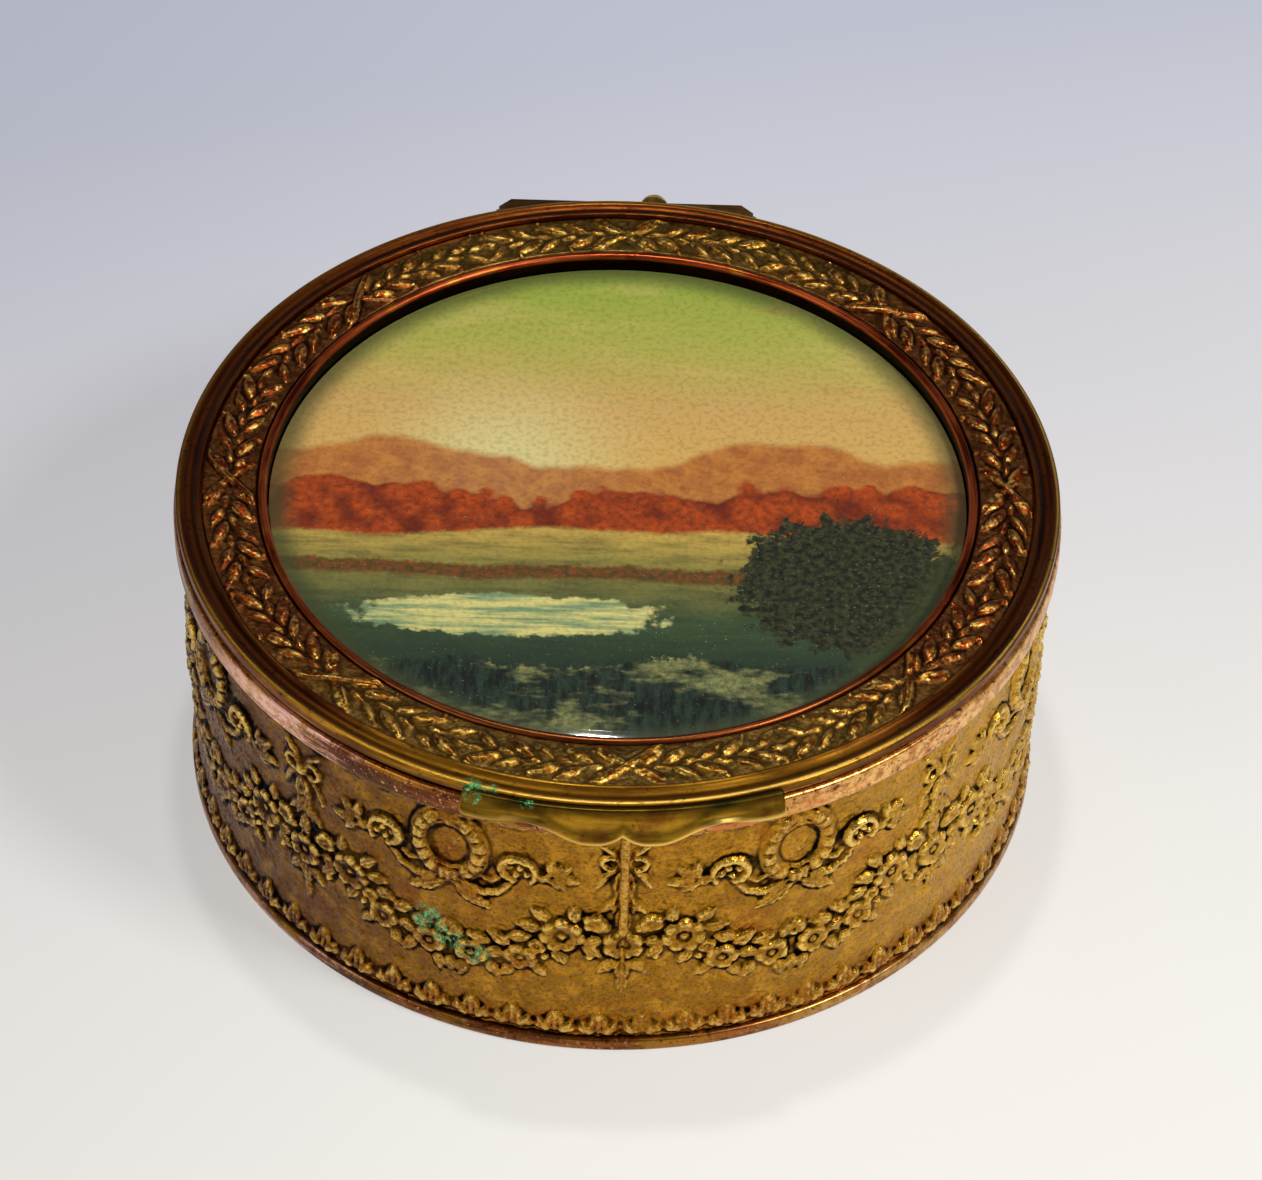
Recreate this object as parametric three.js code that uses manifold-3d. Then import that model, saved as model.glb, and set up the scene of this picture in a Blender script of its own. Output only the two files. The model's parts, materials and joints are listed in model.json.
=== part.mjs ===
// A round gilt brass dresser box with a hinged lid, a laurel wreath round a glazed
// picture, and a stamped wall of festoons. Millimetres, +Z up, the thumb lift in front
// on -Y and the hinge behind on +Y. The origin is the centre of the foot.
import * as THREE from "three";
import { ConvexGeometry } from "three/addons/geometries/ConvexGeometry.js";
import { mergeVertices } from "three/addons/utils/BufferGeometryUtils.js";
import Module from "manifold-3d";

const wasm = await Module();
wasm.setup();

// Clearances
const FIT = 0.2; // between pieces that sit inside each other
const SEAT = 0.15; // between pieces that stand on each other
const RUNNING = 0.25; // between pieces that turn past each other

// Body
const BODY_HEIGHT = 40.2; // from the table to the top of the body rim
const WALL_RADIUS = 51.05; // ground of the stamped wall
const WALL_THICKNESS = 0.8;
const FOOT_OFFSET = 0.75; // outside the wall's ground
const FOOT_HEIGHT = 1.8;
const FOOT_CHAMFER = 0.3;
const FOOT_LIP = 0.8; // flange under the base plate
const FOOT_LIP_WIDTH = 3;
const PLATE_THICKNESS = 0.8;
const DRUM_THICKNESS = 1;
const COLLAR_THICKNESS = 0.6; // of the lip that stands up inside the body rim
const COLLAR_CHAMFER = 0.1;
const RIM_OFFSET = 1.25; // outside the wall's ground
const RIM_HEIGHT = 3.4;
const RIM_ROUNDING = 0.7;
const LINING_THICKNESS = 0.8;
const LINING_DROP = 0.9; // from the collar's top down to the lining's top
const FLOOR_PAD_HEIGHT = 2.4;
const FLOOR_PAD_ROUNDING = 1.2;

// Lid
const LID_SETBACK = 0.3; // from the body rim's edge in to the lid's
const LID_GAP = 0.4; // dark line between lid and body rim
const LID_EDGE = 1.5; // height of the rolled edge
const EDGE_ROUNDING = 0.4;
const COVE_WIDTH = 2;
const COVE_DEPTH = 0.35;
const CREST_WIDTH = 0.5;
const CREST_ROUNDING = 0.12;
const LEDGE_WIDTH = 2.4; // ledge that carries the wreath band
const WREATH_DEPTH = 0.6; // from the crest's top down to the wreath's ground
const WREATH_THICKNESS = 0.55;
const WREATH_WIDTH = 5.6;
const BEZEL_WIDTH = 1.4;
const BEZEL_PROUD = 0.35; // above the wreath's ground
const BEZEL_FLANGE = 1.7; // flange under the wreath band
const BEZEL_FLANGE_THICKNESS = 0.55;
const GLASS_DROP = 1.15; // from the bezel's top down to the glass
const GLASS_THICKNESS = 0.9;
const GLASS_BEVEL = 0.5;
const GLASS_BEVEL_WIDTH = 1.6;
const GLASS_CROWN = 0.1; // rise of the middle above the bevel
const PICTURE_THICKNESS = 0.25;
const CARD_THICKNESS = 0.7;
const PRONG_COUNT = 6;
const PRONG_WIDTH = 3;
const PRONG_LENGTH = 2.6;
const PRONG_THICKNESS = 0.25;
const UNDERPLATE_THICKNESS = 0.35;
const UNDERPLATE_PLAY = 1.05; // inside the lining
const PAD_HEIGHT = 1.8;
const PAD_ROUNDING = 1.3;
const PAD_MARGIN = 0.6; // plate that shows round the pad

// Thumb lift
const LIFT_ANGLE = 20; // degrees to each side
const LIFT_TURN = 1.7; // degrees to the right of the front
const LIFT_TOP = 0.2; // below the top of the lid's edge
const LIFT_PLAY = 0.4; // in front of the body rim
const LIFT_THICKNESS = 0.6;
const LIFT_FLARE = 0.6;
const LIFT_CURL = 1.5; // height over which the lip flares out
const LIFT_SHOULDER_DROP = 2; // from the lift's top down to its edge between lobe and end
const LIFT_END_DROP = 2.9;
const LIFT_LOBE_DROP = 5.4;
const LIFT_CUSP_RISE = 1.5;
const LIFT_CORNER = 0.8;
const LIFT_STEPS = 20;

// Hinge
const HINGE_LENGTH = 32;
const HINGE_KNUCKLES = 5;
const KNUCKLE_RADIUS = 1.1;
const PIN_RADIUS = 0.5;
const PIN_PLAY = 0.12;
const PIN_HEAD = 0.4;
const AXIS_DROP = 2.6; // from the top of the body rim down to the hinge axis
const LEAF_THICKNESS = 0.45;
const BODY_LEAF_DROP = 3.4; // below the axis
const LEAF_CHAMFER = 1.5;
const STUD_PLACE = 3.5; // to the right of the middle
const STUD_RADIUS = 1.35;
const STUD_PROUD = 1.5;
const STUD_DROP = 0.9; // from the lid leaf's top down to the middle of the stud

// Ornament
const ORNAMENT_REPEATS = 8; // sectors round the wall and round the wreath
const TONGUES_PER_REPEAT = 8;
const BORDER_HEIGHT = 3.5;
const BORDER_MARGIN = 0.85; // under the tongues of the border
const RELIEF = 1.2; // of the highest flowers above the wall's ground
const FLOWER_RADIUS = 2.7;
const SMALL_FLOWER_RADIUS = 2.2;
const FESTOON_LEAF_LENGTH = 3.8;
const OVAL_HALF_WIDTH = 3.6;
const OVAL_HALF_HEIGHT = 4.3;
const OVAL_BAND = 1.7;
const SCROLL_RADIUS = 2.4;
const SCROLL_WIDTH = 1.5;
const SPRAY_LENGTH = 5.4; // of the sprays that cross under the oval
const SPRAY_WIDTH = 1.9;
const RIBBON_LENGTH = 4.4;
const RIBBON_WIDTH = 1.2;
const DROP_LENGTH = 10.5;
const DROP_WIDTH = 2.4;
const FOOT_LEAF_LENGTH = 4.6; // of the leaf under the pendant's flower
const KNOT_RADIUS = 2;
const WREATH_RELIEF = 0.65;
const WREATH_LEAVES = 5; // from a tie to halfway to the next
const WREATH_LEAF_LENGTH = 4.8;
const WREATH_LEAF_WIDTH = 2.1;
const TIE_WIDTH = 1.1;
const SUNK = 0.3; // how far an ornament's foot goes into its ground
const SEAM_WIDTH = 0.25; // butt joint of the stamped wall, in front
const SEAM_STRIP_WIDTH = 1.3;
const SEAM_STRIP_THICKNESS = 0.8;
const SEAM_TURN = 2.2; // degrees to the right of the front

// Levels of the ornament, as shares of the wall's height
const LOWEST_SHARE = 0.336;
const MIDDLE_SHARE = 0.365;
const PENDANT_FLOWER_SHARE = 0.46;
const FESTOON_FLOWER_SHARE = 0.497;
const DROP_FOOT_SHARE = 0.548;
const OVAL_SHARE = 0.807;
const KNOT_SHARE = 0.848;

// Places along the festoon, as shares of the way from under the oval to the pendant
const LOWEST_PLACE_SHARE = 0.13;
const MIDDLE_PLACE_SHARE = 0.43;
const FLOWER_PLACE_SHARE = 0.653;

const RING_STEPS = 44;
const INNER_STEPS = 32;

// Places that follow from the sizes above
const footRadius = WALL_RADIUS + FOOT_OFFSET;
const rimRadius = WALL_RADIUS + RIM_OFFSET;
const lidRadius = rimRadius - LID_SETBACK;
const wallInner = WALL_RADIUS - WALL_THICKNESS;
const drumOuter = wallInner - FIT;
const drumInner = drumOuter - DRUM_THICKNESS;
const collarOuter = drumInner + COLLAR_THICKNESS;
const liningOuter = drumInner - FIT;
const liningInner = liningOuter - LINING_THICKNESS;
const plateBottom = FOOT_LIP + SEAT;
const plateTop = plateBottom + PLATE_THICKNESS;
const insideBottom = plateTop + SEAT;
const rimBottom = BODY_HEIGHT - RIM_HEIGHT;
const wallBottom = FOOT_HEIGHT + SEAT;
const wallTop = rimBottom - SEAT;
const wallHeight = wallTop - wallBottom;
const pendantFlowerLevel = wallBottom + PENDANT_FLOWER_SHARE * wallHeight;
const stripBottom = pendantFlowerLevel + SMALL_FLOWER_RADIUS + FIT;
const lidBottom = BODY_HEIGHT + LID_GAP;
const collarTop = lidBottom - SEAT;
const edgeTop = lidBottom + LID_EDGE;
const crestTop = edgeTop + CREST_ROUNDING;
const coveOuter = lidRadius - 2 * EDGE_ROUNDING;
const crestOuter = coveOuter - COVE_WIDTH;
const crestInner = crestOuter - CREST_WIDTH;
const wreathTop = crestTop - WREATH_DEPTH;
const wreathBottom = wreathTop - WREATH_THICKNESS;
const wreathOuter = crestInner - FIT;
const wreathInner = wreathOuter - WREATH_WIDTH;
const bezelRadius = wreathInner - FIT;
const ledgeInner = crestInner - LEDGE_WIDTH;
const ledgeTop = wreathBottom - SEAT;
const bezelInner = bezelRadius - BEZEL_WIDTH;
const bezelTop = wreathTop + BEZEL_PROUD;
const flangeBottom = ledgeTop - BEZEL_FLANGE_THICKNESS;
const glassRadius = bezelInner - FIT;
const glassTop = bezelTop - GLASS_DROP;
const glassBottom = glassTop - GLASS_THICKNESS;
const pictureTop = glassBottom - SEAT;
const cardTop = pictureTop - PICTURE_THICKNESS - SEAT;
const cardBottom = cardTop - CARD_THICKNESS;
const prongTop = cardBottom - SEAT;
const prongBottom = prongTop - PRONG_THICKNESS;
const underplateTop = prongBottom - SEAT;
const underplateBottom = underplateTop - UNDERPLATE_THICKNESS;
const padTop = underplateBottom - SEAT;
const underplateRadius = liningInner - UNDERPLATE_PLAY;
const padRadius = underplateRadius - PAD_MARGIN;
const axisY = rimRadius + RUNNING + KNUCKLE_RADIUS;
const axisZ = BODY_HEIGHT - AXIS_DROP;
const leafInner = axisY - KNUCKLE_RADIUS - RUNNING / 2;
const leafOuter = leafInner + LEAF_THICKNESS;

const GILT = { color: 0x96702c, roughness: 0.42, metalness: 1 };
const COPPERY = { color: 0x9a5f45, roughness: 0.35, metalness: 1 };
const DARK_BRASS = { color: 0x6a4a22, roughness: 0.5, metalness: 1 };
const VELVET = { color: 0x5a1622, roughness: 0.95, metalness: 0 };
const SILK = { color: 0xb9a06a, roughness: 0.8, metalness: 0 };
const CARD = { color: 0x8a7a5c, roughness: 0.9, metalness: 0 };
const PAINTED = { color: 0xb08a4c, roughness: 0.6, metalness: 0 };
const GLASS = { color: 0xdfe6e0, roughness: 0.05, metalness: 0, transparent: true, opacity: 0.35 };

// A turned piece from a closed or axis-to-axis profile of [radius, height] points,
// listed so that the metal lies on the left of the way round.
function turned(profile, steps) {
  const points = profile.map(([radius, height]) => new THREE.Vector2(radius, height));
  if (profile[0][0] > 0) {
    points.push(points[0].clone());
  }
  return new THREE.LatheGeometry(points, steps).rotateX(Math.PI / 2);
}

function disc(radius, bottom, top, steps) {
  return turned([[0, bottom], [radius, bottom], [radius, top], [0, top]], steps);
}

function tube(inner, outer, bottom, top, steps) {
  return turned([[inner, bottom], [outer, bottom], [outer, top], [inner, top]], steps);
}

// Points of a round edge, from one angle to the other in degrees.
function arc(radius, height, rounding, from, to, steps) {
  const points = [];
  for (let i = 0; i <= steps; i += 1) {
    const angle = THREE.MathUtils.degToRad(from + ((to - from) * i) / steps);
    points.push([radius + rounding * Math.cos(angle), height + rounding * Math.sin(angle)]);
  }
  return points;
}

function solidOf(geometry) {
  const bare = geometry.clone();
  bare.deleteAttribute("normal");
  bare.deleteAttribute("uv");
  const merged = mergeVertices(bare, 1e-4);
  const mesh = new wasm.Mesh({
    numProp: 3,
    vertProperties: new Float32Array(merged.attributes.position.array),
    triVerts: new Uint32Array(merged.index.array),
  });
  mesh.merge();
  return new wasm.Manifold(mesh);
}

function geometryOf(solid) {
  const mesh = solid.getMesh();
  const geometry = new THREE.BufferGeometry();
  geometry.setAttribute("position", new THREE.BufferAttribute(mesh.vertProperties, 3));
  geometry.setIndex(new THREE.BufferAttribute(mesh.triVerts, 1));
  geometry.computeVertexNormals();
  return geometry;
}

function piece(name, geometry, look) {
  const mesh = new THREE.Mesh(geometry, new THREE.MeshStandardMaterial(look));
  mesh.name = name;
  return mesh;
}

function indexed(positions, index) {
  const geometry = new THREE.BufferGeometry();
  geometry.setAttribute("position", new THREE.Float32BufferAttribute(positions, 3));
  geometry.setIndex(index);
  return geometry;
}

// A solid skinned over sections of equal count, each a list of Vector3, with flat ends.
function lofted(sections) {
  const count = sections[0].length;
  const positions = sections.flat().flatMap((point) => [point.x, point.y, point.z]);
  const index = [];
  for (let row = 0; row < sections.length - 1; row += 1) {
    for (let i = 0; i < count; i += 1) {
      const a = row * count + i;
      const b = row * count + ((i + 1) % count);
      index.push(a, b, b + count, a, b + count, a + count);
    }
  }
  for (const [row, flip] of [[0, true], [sections.length - 1, false]]) {
    const flat = sections[row].map((point) => new THREE.Vector2(...flatten(point, sections[row])));
    for (const [a, b, c] of THREE.ShapeUtils.triangulateShape(flat, [])) {
      const first = row * count;
      index.push(...(flip ? [first + c, first + b, first + a] : [first + a, first + b, first + c]));
    }
  }
  return indexed(positions, index);
}

// A point's two coordinates in the plane of its section, seen along the section's normal.
function flatten(point, section) {
  const middle = section.reduce((sum, each) => sum.add(each), new THREE.Vector3());
  middle.divideScalar(section.length);
  const normal = new THREE.Vector3();
  section.forEach((each, i) => {
    const next = section[(i + 1) % section.length];
    normal.add(each.clone().sub(middle).cross(next.clone().sub(middle)));
  });
  normal.normalize();
  const across = section[0].clone().sub(middle).normalize();
  const along = normal.clone().cross(across);
  const arm = point.clone().sub(middle);
  return [arm.dot(across), arm.dot(along)];
}

// Ornaments are drawn flat: X along the band, Y across it, Z out of the ground.
// A pointed leaf that rises to its thickest place, of the stated size at the ground.
function leaf(length, width, height) {
  const spread = (height + SUNK) / height;
  const middle = length / 2;
  const foot = [
    [-middle, 0],
    [-0.1 * length, width / 2],
    [-0.1 * length, -width / 2],
    [middle, 0],
  ].map(([x, y]) => new THREE.Vector3(middle + x * spread, y * spread, -SUNK));
  return new ConvexGeometry([...foot, new THREE.Vector3(middle, 0, height)]);
}

// A rosette of pointed petals that rise to its eye.
function rosette(radius, height, petals) {
  const spread = (height + SUNK) / height;
  const count = 2 * petals;
  const positions = [0, 0, -SUNK, 0, 0, height];
  const index = [];
  for (let i = 0; i < count; i += 1) {
    const angle = (Math.PI * i) / petals;
    const reach = radius * spread * (i % 2 ? 0.6 : 1);
    positions.push(reach * Math.cos(angle), reach * Math.sin(angle), -SUNK);
    const near = 2 + i;
    const next = 2 + ((i + 1) % count);
    index.push(0, next, near, 1, near, next);
  }
  return indexed(positions, index);
}

// A tapered round-backed strip along a path of [x, y, width] points.
function strip(path, height) {
  const sections = path.map(([x, y, width], i) => {
    const before = path[Math.max(i - 1, 0)];
    const after = path[Math.min(i + 1, path.length - 1)];
    const way = new THREE.Vector2(after[0] - before[0], after[1] - before[1]).normalize();
    const side = new THREE.Vector2(-way.y, way.x).multiplyScalar(width / 2);
    const level = height * Math.min(1, width / path[1][2]);
    return [
      new THREE.Vector3(x + side.x, y + side.y, -SUNK),
      new THREE.Vector3(x, y, level),
      new THREE.Vector3(x - side.x, y - side.y, -SUNK),
    ];
  });
  return lofted(sections);
}

// A scroll that curls inward as it goes round, thick at its outer end.
function scroll(radius, width, height, startAngle, sweep) {
  const steps = 4;
  const path = [];
  for (let i = 0; i <= steps; i += 1) {
    const share = i / steps;
    const angle = THREE.MathUtils.degToRad(startAngle + sweep * share);
    const reach = radius * (1 - 0.55 * share);
    path.push([reach * Math.cos(angle), reach * Math.sin(angle), width * (1 - 0.45 * share)]);
  }
  return strip(path, height);
}

// An oval frame with a ridge along its middle.
function ovalFrame(halfWidth, halfHeight, band, height) {
  const steps = 8;
  const positions = [];
  const index = [];
  const rims = [[-band / 2, -SUNK], [0, height], [band / 2, -SUNK]];
  for (let i = 0; i < steps; i += 1) {
    const angle = (2 * Math.PI * i) / steps;
    for (const [offset, level] of rims) {
      const [wide, high] = [halfWidth + offset, halfHeight + offset];
      positions.push(wide * Math.cos(angle), high * Math.sin(angle), level);
    }
    const next = (i + 1) % steps;
    rims.forEach((rim, j) => {
      const k = (j + 1) % rims.length;
      const [a, b, c, d] = [3 * i + j, 3 * i + k, 3 * next + k, 3 * next + j];
      index.push(a, b, c, a, c, d);
    });
  }
  return indexed(positions, index);
}

function moved(geometry, along, across, degrees) {
  return geometry.rotateZ(THREE.MathUtils.degToRad(degrees)).translate(along, across, 0);
}

// Bends a flat ornament: place(along, across, out) gives each point's place on the part.
function bent(geometry, place) {
  const position = geometry.attributes.position;
  for (let i = 0; i < position.count; i += 1) {
    const point = place(position.getX(i), position.getY(i), position.getZ(i));
    position.setXYZ(i, ...point);
  }
  return geometry;
}

function onWall(turn) {
  return (along, across, out) => {
    const angle = turn + along / WALL_RADIUS;
    const reach = WALL_RADIUS + out;
    return [reach * Math.sin(angle), -reach * Math.cos(angle), across];
  };
}

// The wreath is drawn with Y towards the middle of the lid.
function onWreath(turn) {
  const middle = (wreathInner + wreathOuter) / 2;
  return (along, across, out) => {
    const angle = turn + along / middle;
    const reach = middle - across;
    return [reach * Math.sin(angle), -reach * Math.cos(angle), wreathTop + out];
  };
}

function joined(ground, ornaments) {
  return ornaments.reduce((solid, each) => solid.add(solidOf(each)), ground);
}

// Both sides of a mirror line at one place along the band.
function mirrored(make) {
  return [1, -1].map((hand) => {
    const geometry = make();
    if (hand > 0) {
      return geometry;
    }
    geometry.scale(-1, 1, 1);
    return turnedOver(geometry);
  });
}

function turnedOver(geometry) {
  const bare = geometry.clone();
  bare.deleteAttribute("normal");
  bare.deleteAttribute("uv");
  const merged = mergeVertices(bare, 1e-4);
  const index = merged.index.array;
  for (let i = 0; i < index.length; i += 3) {
    [index[i + 1], index[i + 2]] = [index[i + 2], index[i + 1]];
  }
  return merged;
}

function footRing() {
  const inner = footRadius - FOOT_LIP_WIDTH;
  const plateEdge = drumOuter + FIT;
  return turned(
    [
      [inner, 0],
      [footRadius - FOOT_CHAMFER, 0],
      [footRadius, FOOT_CHAMFER],
      [footRadius, FOOT_HEIGHT],
      [plateEdge, FOOT_HEIGHT],
      [plateEdge, FOOT_LIP],
      [inner, FOOT_LIP],
    ],
    RING_STEPS,
  );
}

function innerDrum() {
  return turned(
    [
      [drumInner, insideBottom],
      [drumOuter, insideBottom],
      [drumOuter, BODY_HEIGHT],
      [collarOuter, BODY_HEIGHT],
      [collarOuter, collarTop - COLLAR_CHAMFER],
      [collarOuter - COLLAR_CHAMFER, collarTop],
      [drumInner, collarTop],
    ],
    INNER_STEPS,
  );
}

function bodyRim() {
  const inner = drumOuter + FIT;
  return turned(
    [
      [inner, rimBottom],
      ...arc(rimRadius - RIM_ROUNDING, rimBottom + RIM_ROUNDING, RIM_ROUNDING, -90, 0, 1),
      ...arc(rimRadius - RIM_ROUNDING, BODY_HEIGHT - RIM_ROUNDING, RIM_ROUNDING, 0, 90, 1),
      [inner, BODY_HEIGHT],
    ],
    RING_STEPS,
  );
}

function liningFloor() {
  const top = insideBottom + FLOOR_PAD_HEIGHT;
  const radius = liningInner - FIT;
  return turned(
    [
      [0, insideBottom],
      [radius, insideBottom],
      [radius, top - FLOOR_PAD_ROUNDING],
      [radius - FLOOR_PAD_ROUNDING / 2, top - FLOOR_PAD_ROUNDING * 0.4],
      [radius - FLOOR_PAD_ROUNDING * 2, top - FLOOR_PAD_ROUNDING * 0.1],
      [0, top],
    ],
    INNER_STEPS,
  );
}

// Leaf tongues of the border along the wall's foot.
function borderTongues() {
  const pitch = (2 * Math.PI * WALL_RADIUS) / (ORNAMENT_REPEATS * TONGUES_PER_REPEAT);
  const foot = wallBottom + BORDER_MARGIN;
  const shapes = [];
  for (let i = 0; i < TONGUES_PER_REPEAT; i += 1) {
    const along = (i - (TONGUES_PER_REPEAT - 1) / 2) * pitch;
    shapes.push(moved(leaf(BORDER_HEIGHT, pitch * 0.85, RELIEF * 0.65), along, foot, 90));
  }
  return shapes;
}

// Half of the festoon, from the pendant at the sector's edge to its lowest flower
// under the oval in the sector's middle.
function festoonHalf(halfSector) {
  const flowers = [
    { place: 1, level: PENDANT_FLOWER_SHARE, radius: SMALL_FLOWER_RADIUS },
    { place: FLOWER_PLACE_SHARE, level: FESTOON_FLOWER_SHARE, radius: FLOWER_RADIUS },
    { place: MIDDLE_PLACE_SHARE, level: MIDDLE_SHARE, radius: SMALL_FLOWER_RADIUS },
    { place: LOWEST_PLACE_SHARE, level: LOWEST_SHARE, radius: SMALL_FLOWER_RADIUS },
  ];
  const shapes = flowers.map((flower) => () => {
    const bloom = rosette(flower.radius, RELIEF * 0.95, 5);
    return moved(bloom, flower.place * halfSector, onHeight(flower.level), 18);
  });
  // A leaf lies before each flower but the first, and points at the one before it.
  for (let i = 1; i < flowers.length; i += 1) {
    const [before, flower] = [flowers[i - 1], flowers[i]];
    const run = (before.place - flower.place) * halfSector;
    const rise = (before.level - flower.level) * wallHeight;
    const slope = THREE.MathUtils.radToDeg(Math.atan2(rise, run));
    shapes.push(() => {
      const blade = leaf(FESTOON_LEAF_LENGTH, FESTOON_LEAF_LENGTH / 2, RELIEF * 0.7);
      const across = onHeight(flower.level) + flower.radius * 0.7;
      return moved(blade, flower.place * halfSector, across, slope + 20);
    });
  }
  return shapes;
}

function onHeight(share) {
  return wallBottom + share * wallHeight;
}

// The oval cartouche with a scroll at each side and crossed ribbons under it.
function cartouche() {
  const middle = onHeight(OVAL_SHARE);
  const frame = ovalFrame(OVAL_HALF_WIDTH, OVAL_HALF_HEIGHT, OVAL_BAND, RELIEF * 0.9);
  const beside = OVAL_HALF_WIDTH + SCROLL_RADIUS + SCROLL_WIDTH;
  const under = middle - OVAL_HALF_HEIGHT - OVAL_BAND / 2;
  const sideScroll = () => scroll(SCROLL_RADIUS, SCROLL_WIDTH, RELIEF * 0.8, 200, -250);
  const spray = () => leaf(SPRAY_LENGTH, SPRAY_WIDTH, RELIEF * 0.7);
  return [
    moved(frame, 0, middle, 0),
    ...mirrored(() => moved(sideScroll(), beside, middle - SCROLL_WIDTH, 0)),
    ...mirrored(() => moved(spray(), SPRAY_WIDTH / 2, under - SPRAY_WIDTH / 2, -34)),
  ];
}

// The ribbon-tied drop that hangs between two cartouches.
function pendant(halfSector) {
  const knot = onHeight(KNOT_SHARE);
  const drop = leaf(DROP_LENGTH, DROP_WIDTH, RELIEF * 0.8);
  const shapes = [moved(drop, halfSector, onHeight(DROP_FOOT_SHARE), 90)];
  shapes.push(moved(rosette(KNOT_RADIUS, RELIEF * 0.8, 4), halfSector, knot, 0));
  for (const degrees of [-50, 230]) {
    shapes.push(moved(leaf(RIBBON_LENGTH, RIBBON_WIDTH, RELIEF * 0.5), halfSector, knot, degrees));
  }
  return shapes;
}

function wallRelief(withPendant) {
  const half = (Math.PI * WALL_RADIUS) / ORNAMENT_REPEATS;
  const [atPendant, ...others] = festoonHalf(half);
  const footLeaf = leaf(FOOT_LEAF_LENGTH, SPRAY_WIDTH, RELIEF * 0.7);
  return [
    ...borderTongues(),
    atPendant(),
    moved(footLeaf, half, pendantFlowerLevel - SMALL_FLOWER_RADIUS / 2, -90),
    ...others.flatMap(mirrored),
    ...cartouche(),
    ...(withPendant ? pendant(half) : []),
  ];
}

// The stamped strip, wrapped round the drum. Its ends meet in front, where a strip
// over the joint takes the place of a pendant.
function embossedWall() {
  let wall = solidOf(tube(wallInner, WALL_RADIUS, wallBottom, wallTop, RING_STEPS));
  for (let i = 0; i < ORNAMENT_REPEATS; i += 1) {
    const turn = (2 * Math.PI * (i + 0.5)) / ORNAMENT_REPEATS;
    const atSeam = i === ORNAMENT_REPEATS - 1;
    wall = joined(wall, wallRelief(!atSeam).map((shape) => bent(shape, onWall(turn))));
  }
  const seam = new THREE.BoxGeometry(SEAM_WIDTH, 4 * WALL_THICKNESS + 2 * RELIEF, BODY_HEIGHT);
  const split = wall.subtract(solidOf(seam.translate(0, -WALL_RADIUS, BODY_HEIGHT / 2)));
  return geometryOf(split).rotateZ(THREE.MathUtils.degToRad(SEAM_TURN));
}

function seamStrip() {
  const strap = new THREE.BoxGeometry(SEAM_STRIP_WIDTH, SEAM_STRIP_THICKNESS, wallTop - stripBottom);
  const middle = WALL_RADIUS + SEAT + SEAM_STRIP_THICKNESS / 2;
  strap.translate(0, -middle, (wallTop + stripBottom) / 2);
  return strap.rotateZ(THREE.MathUtils.degToRad(SEAM_TURN));
}

function lidRim() {
  const cove = new THREE.QuadraticBezierCurve(
    new THREE.Vector2(coveOuter, edgeTop),
    new THREE.Vector2((coveOuter + crestOuter) / 2, edgeTop - 2 * COVE_DEPTH),
    new THREE.Vector2(crestOuter, edgeTop),
  );
  return turned(
    [
      [ledgeInner, lidBottom],
      ...arc(lidRadius - EDGE_ROUNDING, lidBottom + EDGE_ROUNDING, EDGE_ROUNDING, -90, 0, 1),
      ...arc(lidRadius - EDGE_ROUNDING, edgeTop - EDGE_ROUNDING, EDGE_ROUNDING, 0, 90, 1),
      ...cove.getPoints(2).map((point) => [point.x, point.y]),
      [(crestOuter + crestInner) / 2, crestTop],
      [crestInner, crestTop - CREST_ROUNDING],
      [crestInner, ledgeTop],
      [ledgeInner, ledgeTop],
    ],
    RING_STEPS,
  );
}

// The leaves round one tie of the wreath: they point away from it, to halfway to the
// next tie on each side, in two rows.
function wreathLeaves() {
  const middle = (wreathInner + wreathOuter) / 2;
  const half = (Math.PI * middle) / ORNAMENT_REPEATS;
  const pitch = (half - TIE_WIDTH) / WREATH_LEAVES;
  const shapes = [];
  for (let i = 0; i < WREATH_LEAVES; i += 1) {
    const side = i % 2 === 0 ? 1 : -1;
    shapes.push(...mirrored(() => {
      const blade = leaf(WREATH_LEAF_LENGTH, WREATH_LEAF_WIDTH, WREATH_RELIEF);
      return moved(blade, TIE_WIDTH + (i - 0.2) * pitch, (side * WREATH_WIDTH) / 16, side * 24);
    }));
  }
  return shapes;
}

// Two ribbons that cross over the wreath.
function wreathTie() {
  const reach = WREATH_WIDTH / 2 - FIT;
  return [0.8, -0.8].map((lean) => {
    const path = [
      [-reach * lean, -reach, TIE_WIDTH],
      [0, 0, TIE_WIDTH],
      [reach * lean, reach, TIE_WIDTH],
    ];
    return strip(path, WREATH_RELIEF);
  });
}

function wreathBand() {
  let band = solidOf(tube(wreathInner, wreathOuter, wreathBottom, wreathTop, RING_STEPS));
  for (let i = 0; i < ORNAMENT_REPEATS; i += 1) {
    const turn = (2 * Math.PI * i) / ORNAMENT_REPEATS;
    band = joined(band, [...wreathLeaves(), ...wreathTie()].map((shape) => bent(shape, onWreath(turn))));
  }
  return geometryOf(band);
}

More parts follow.
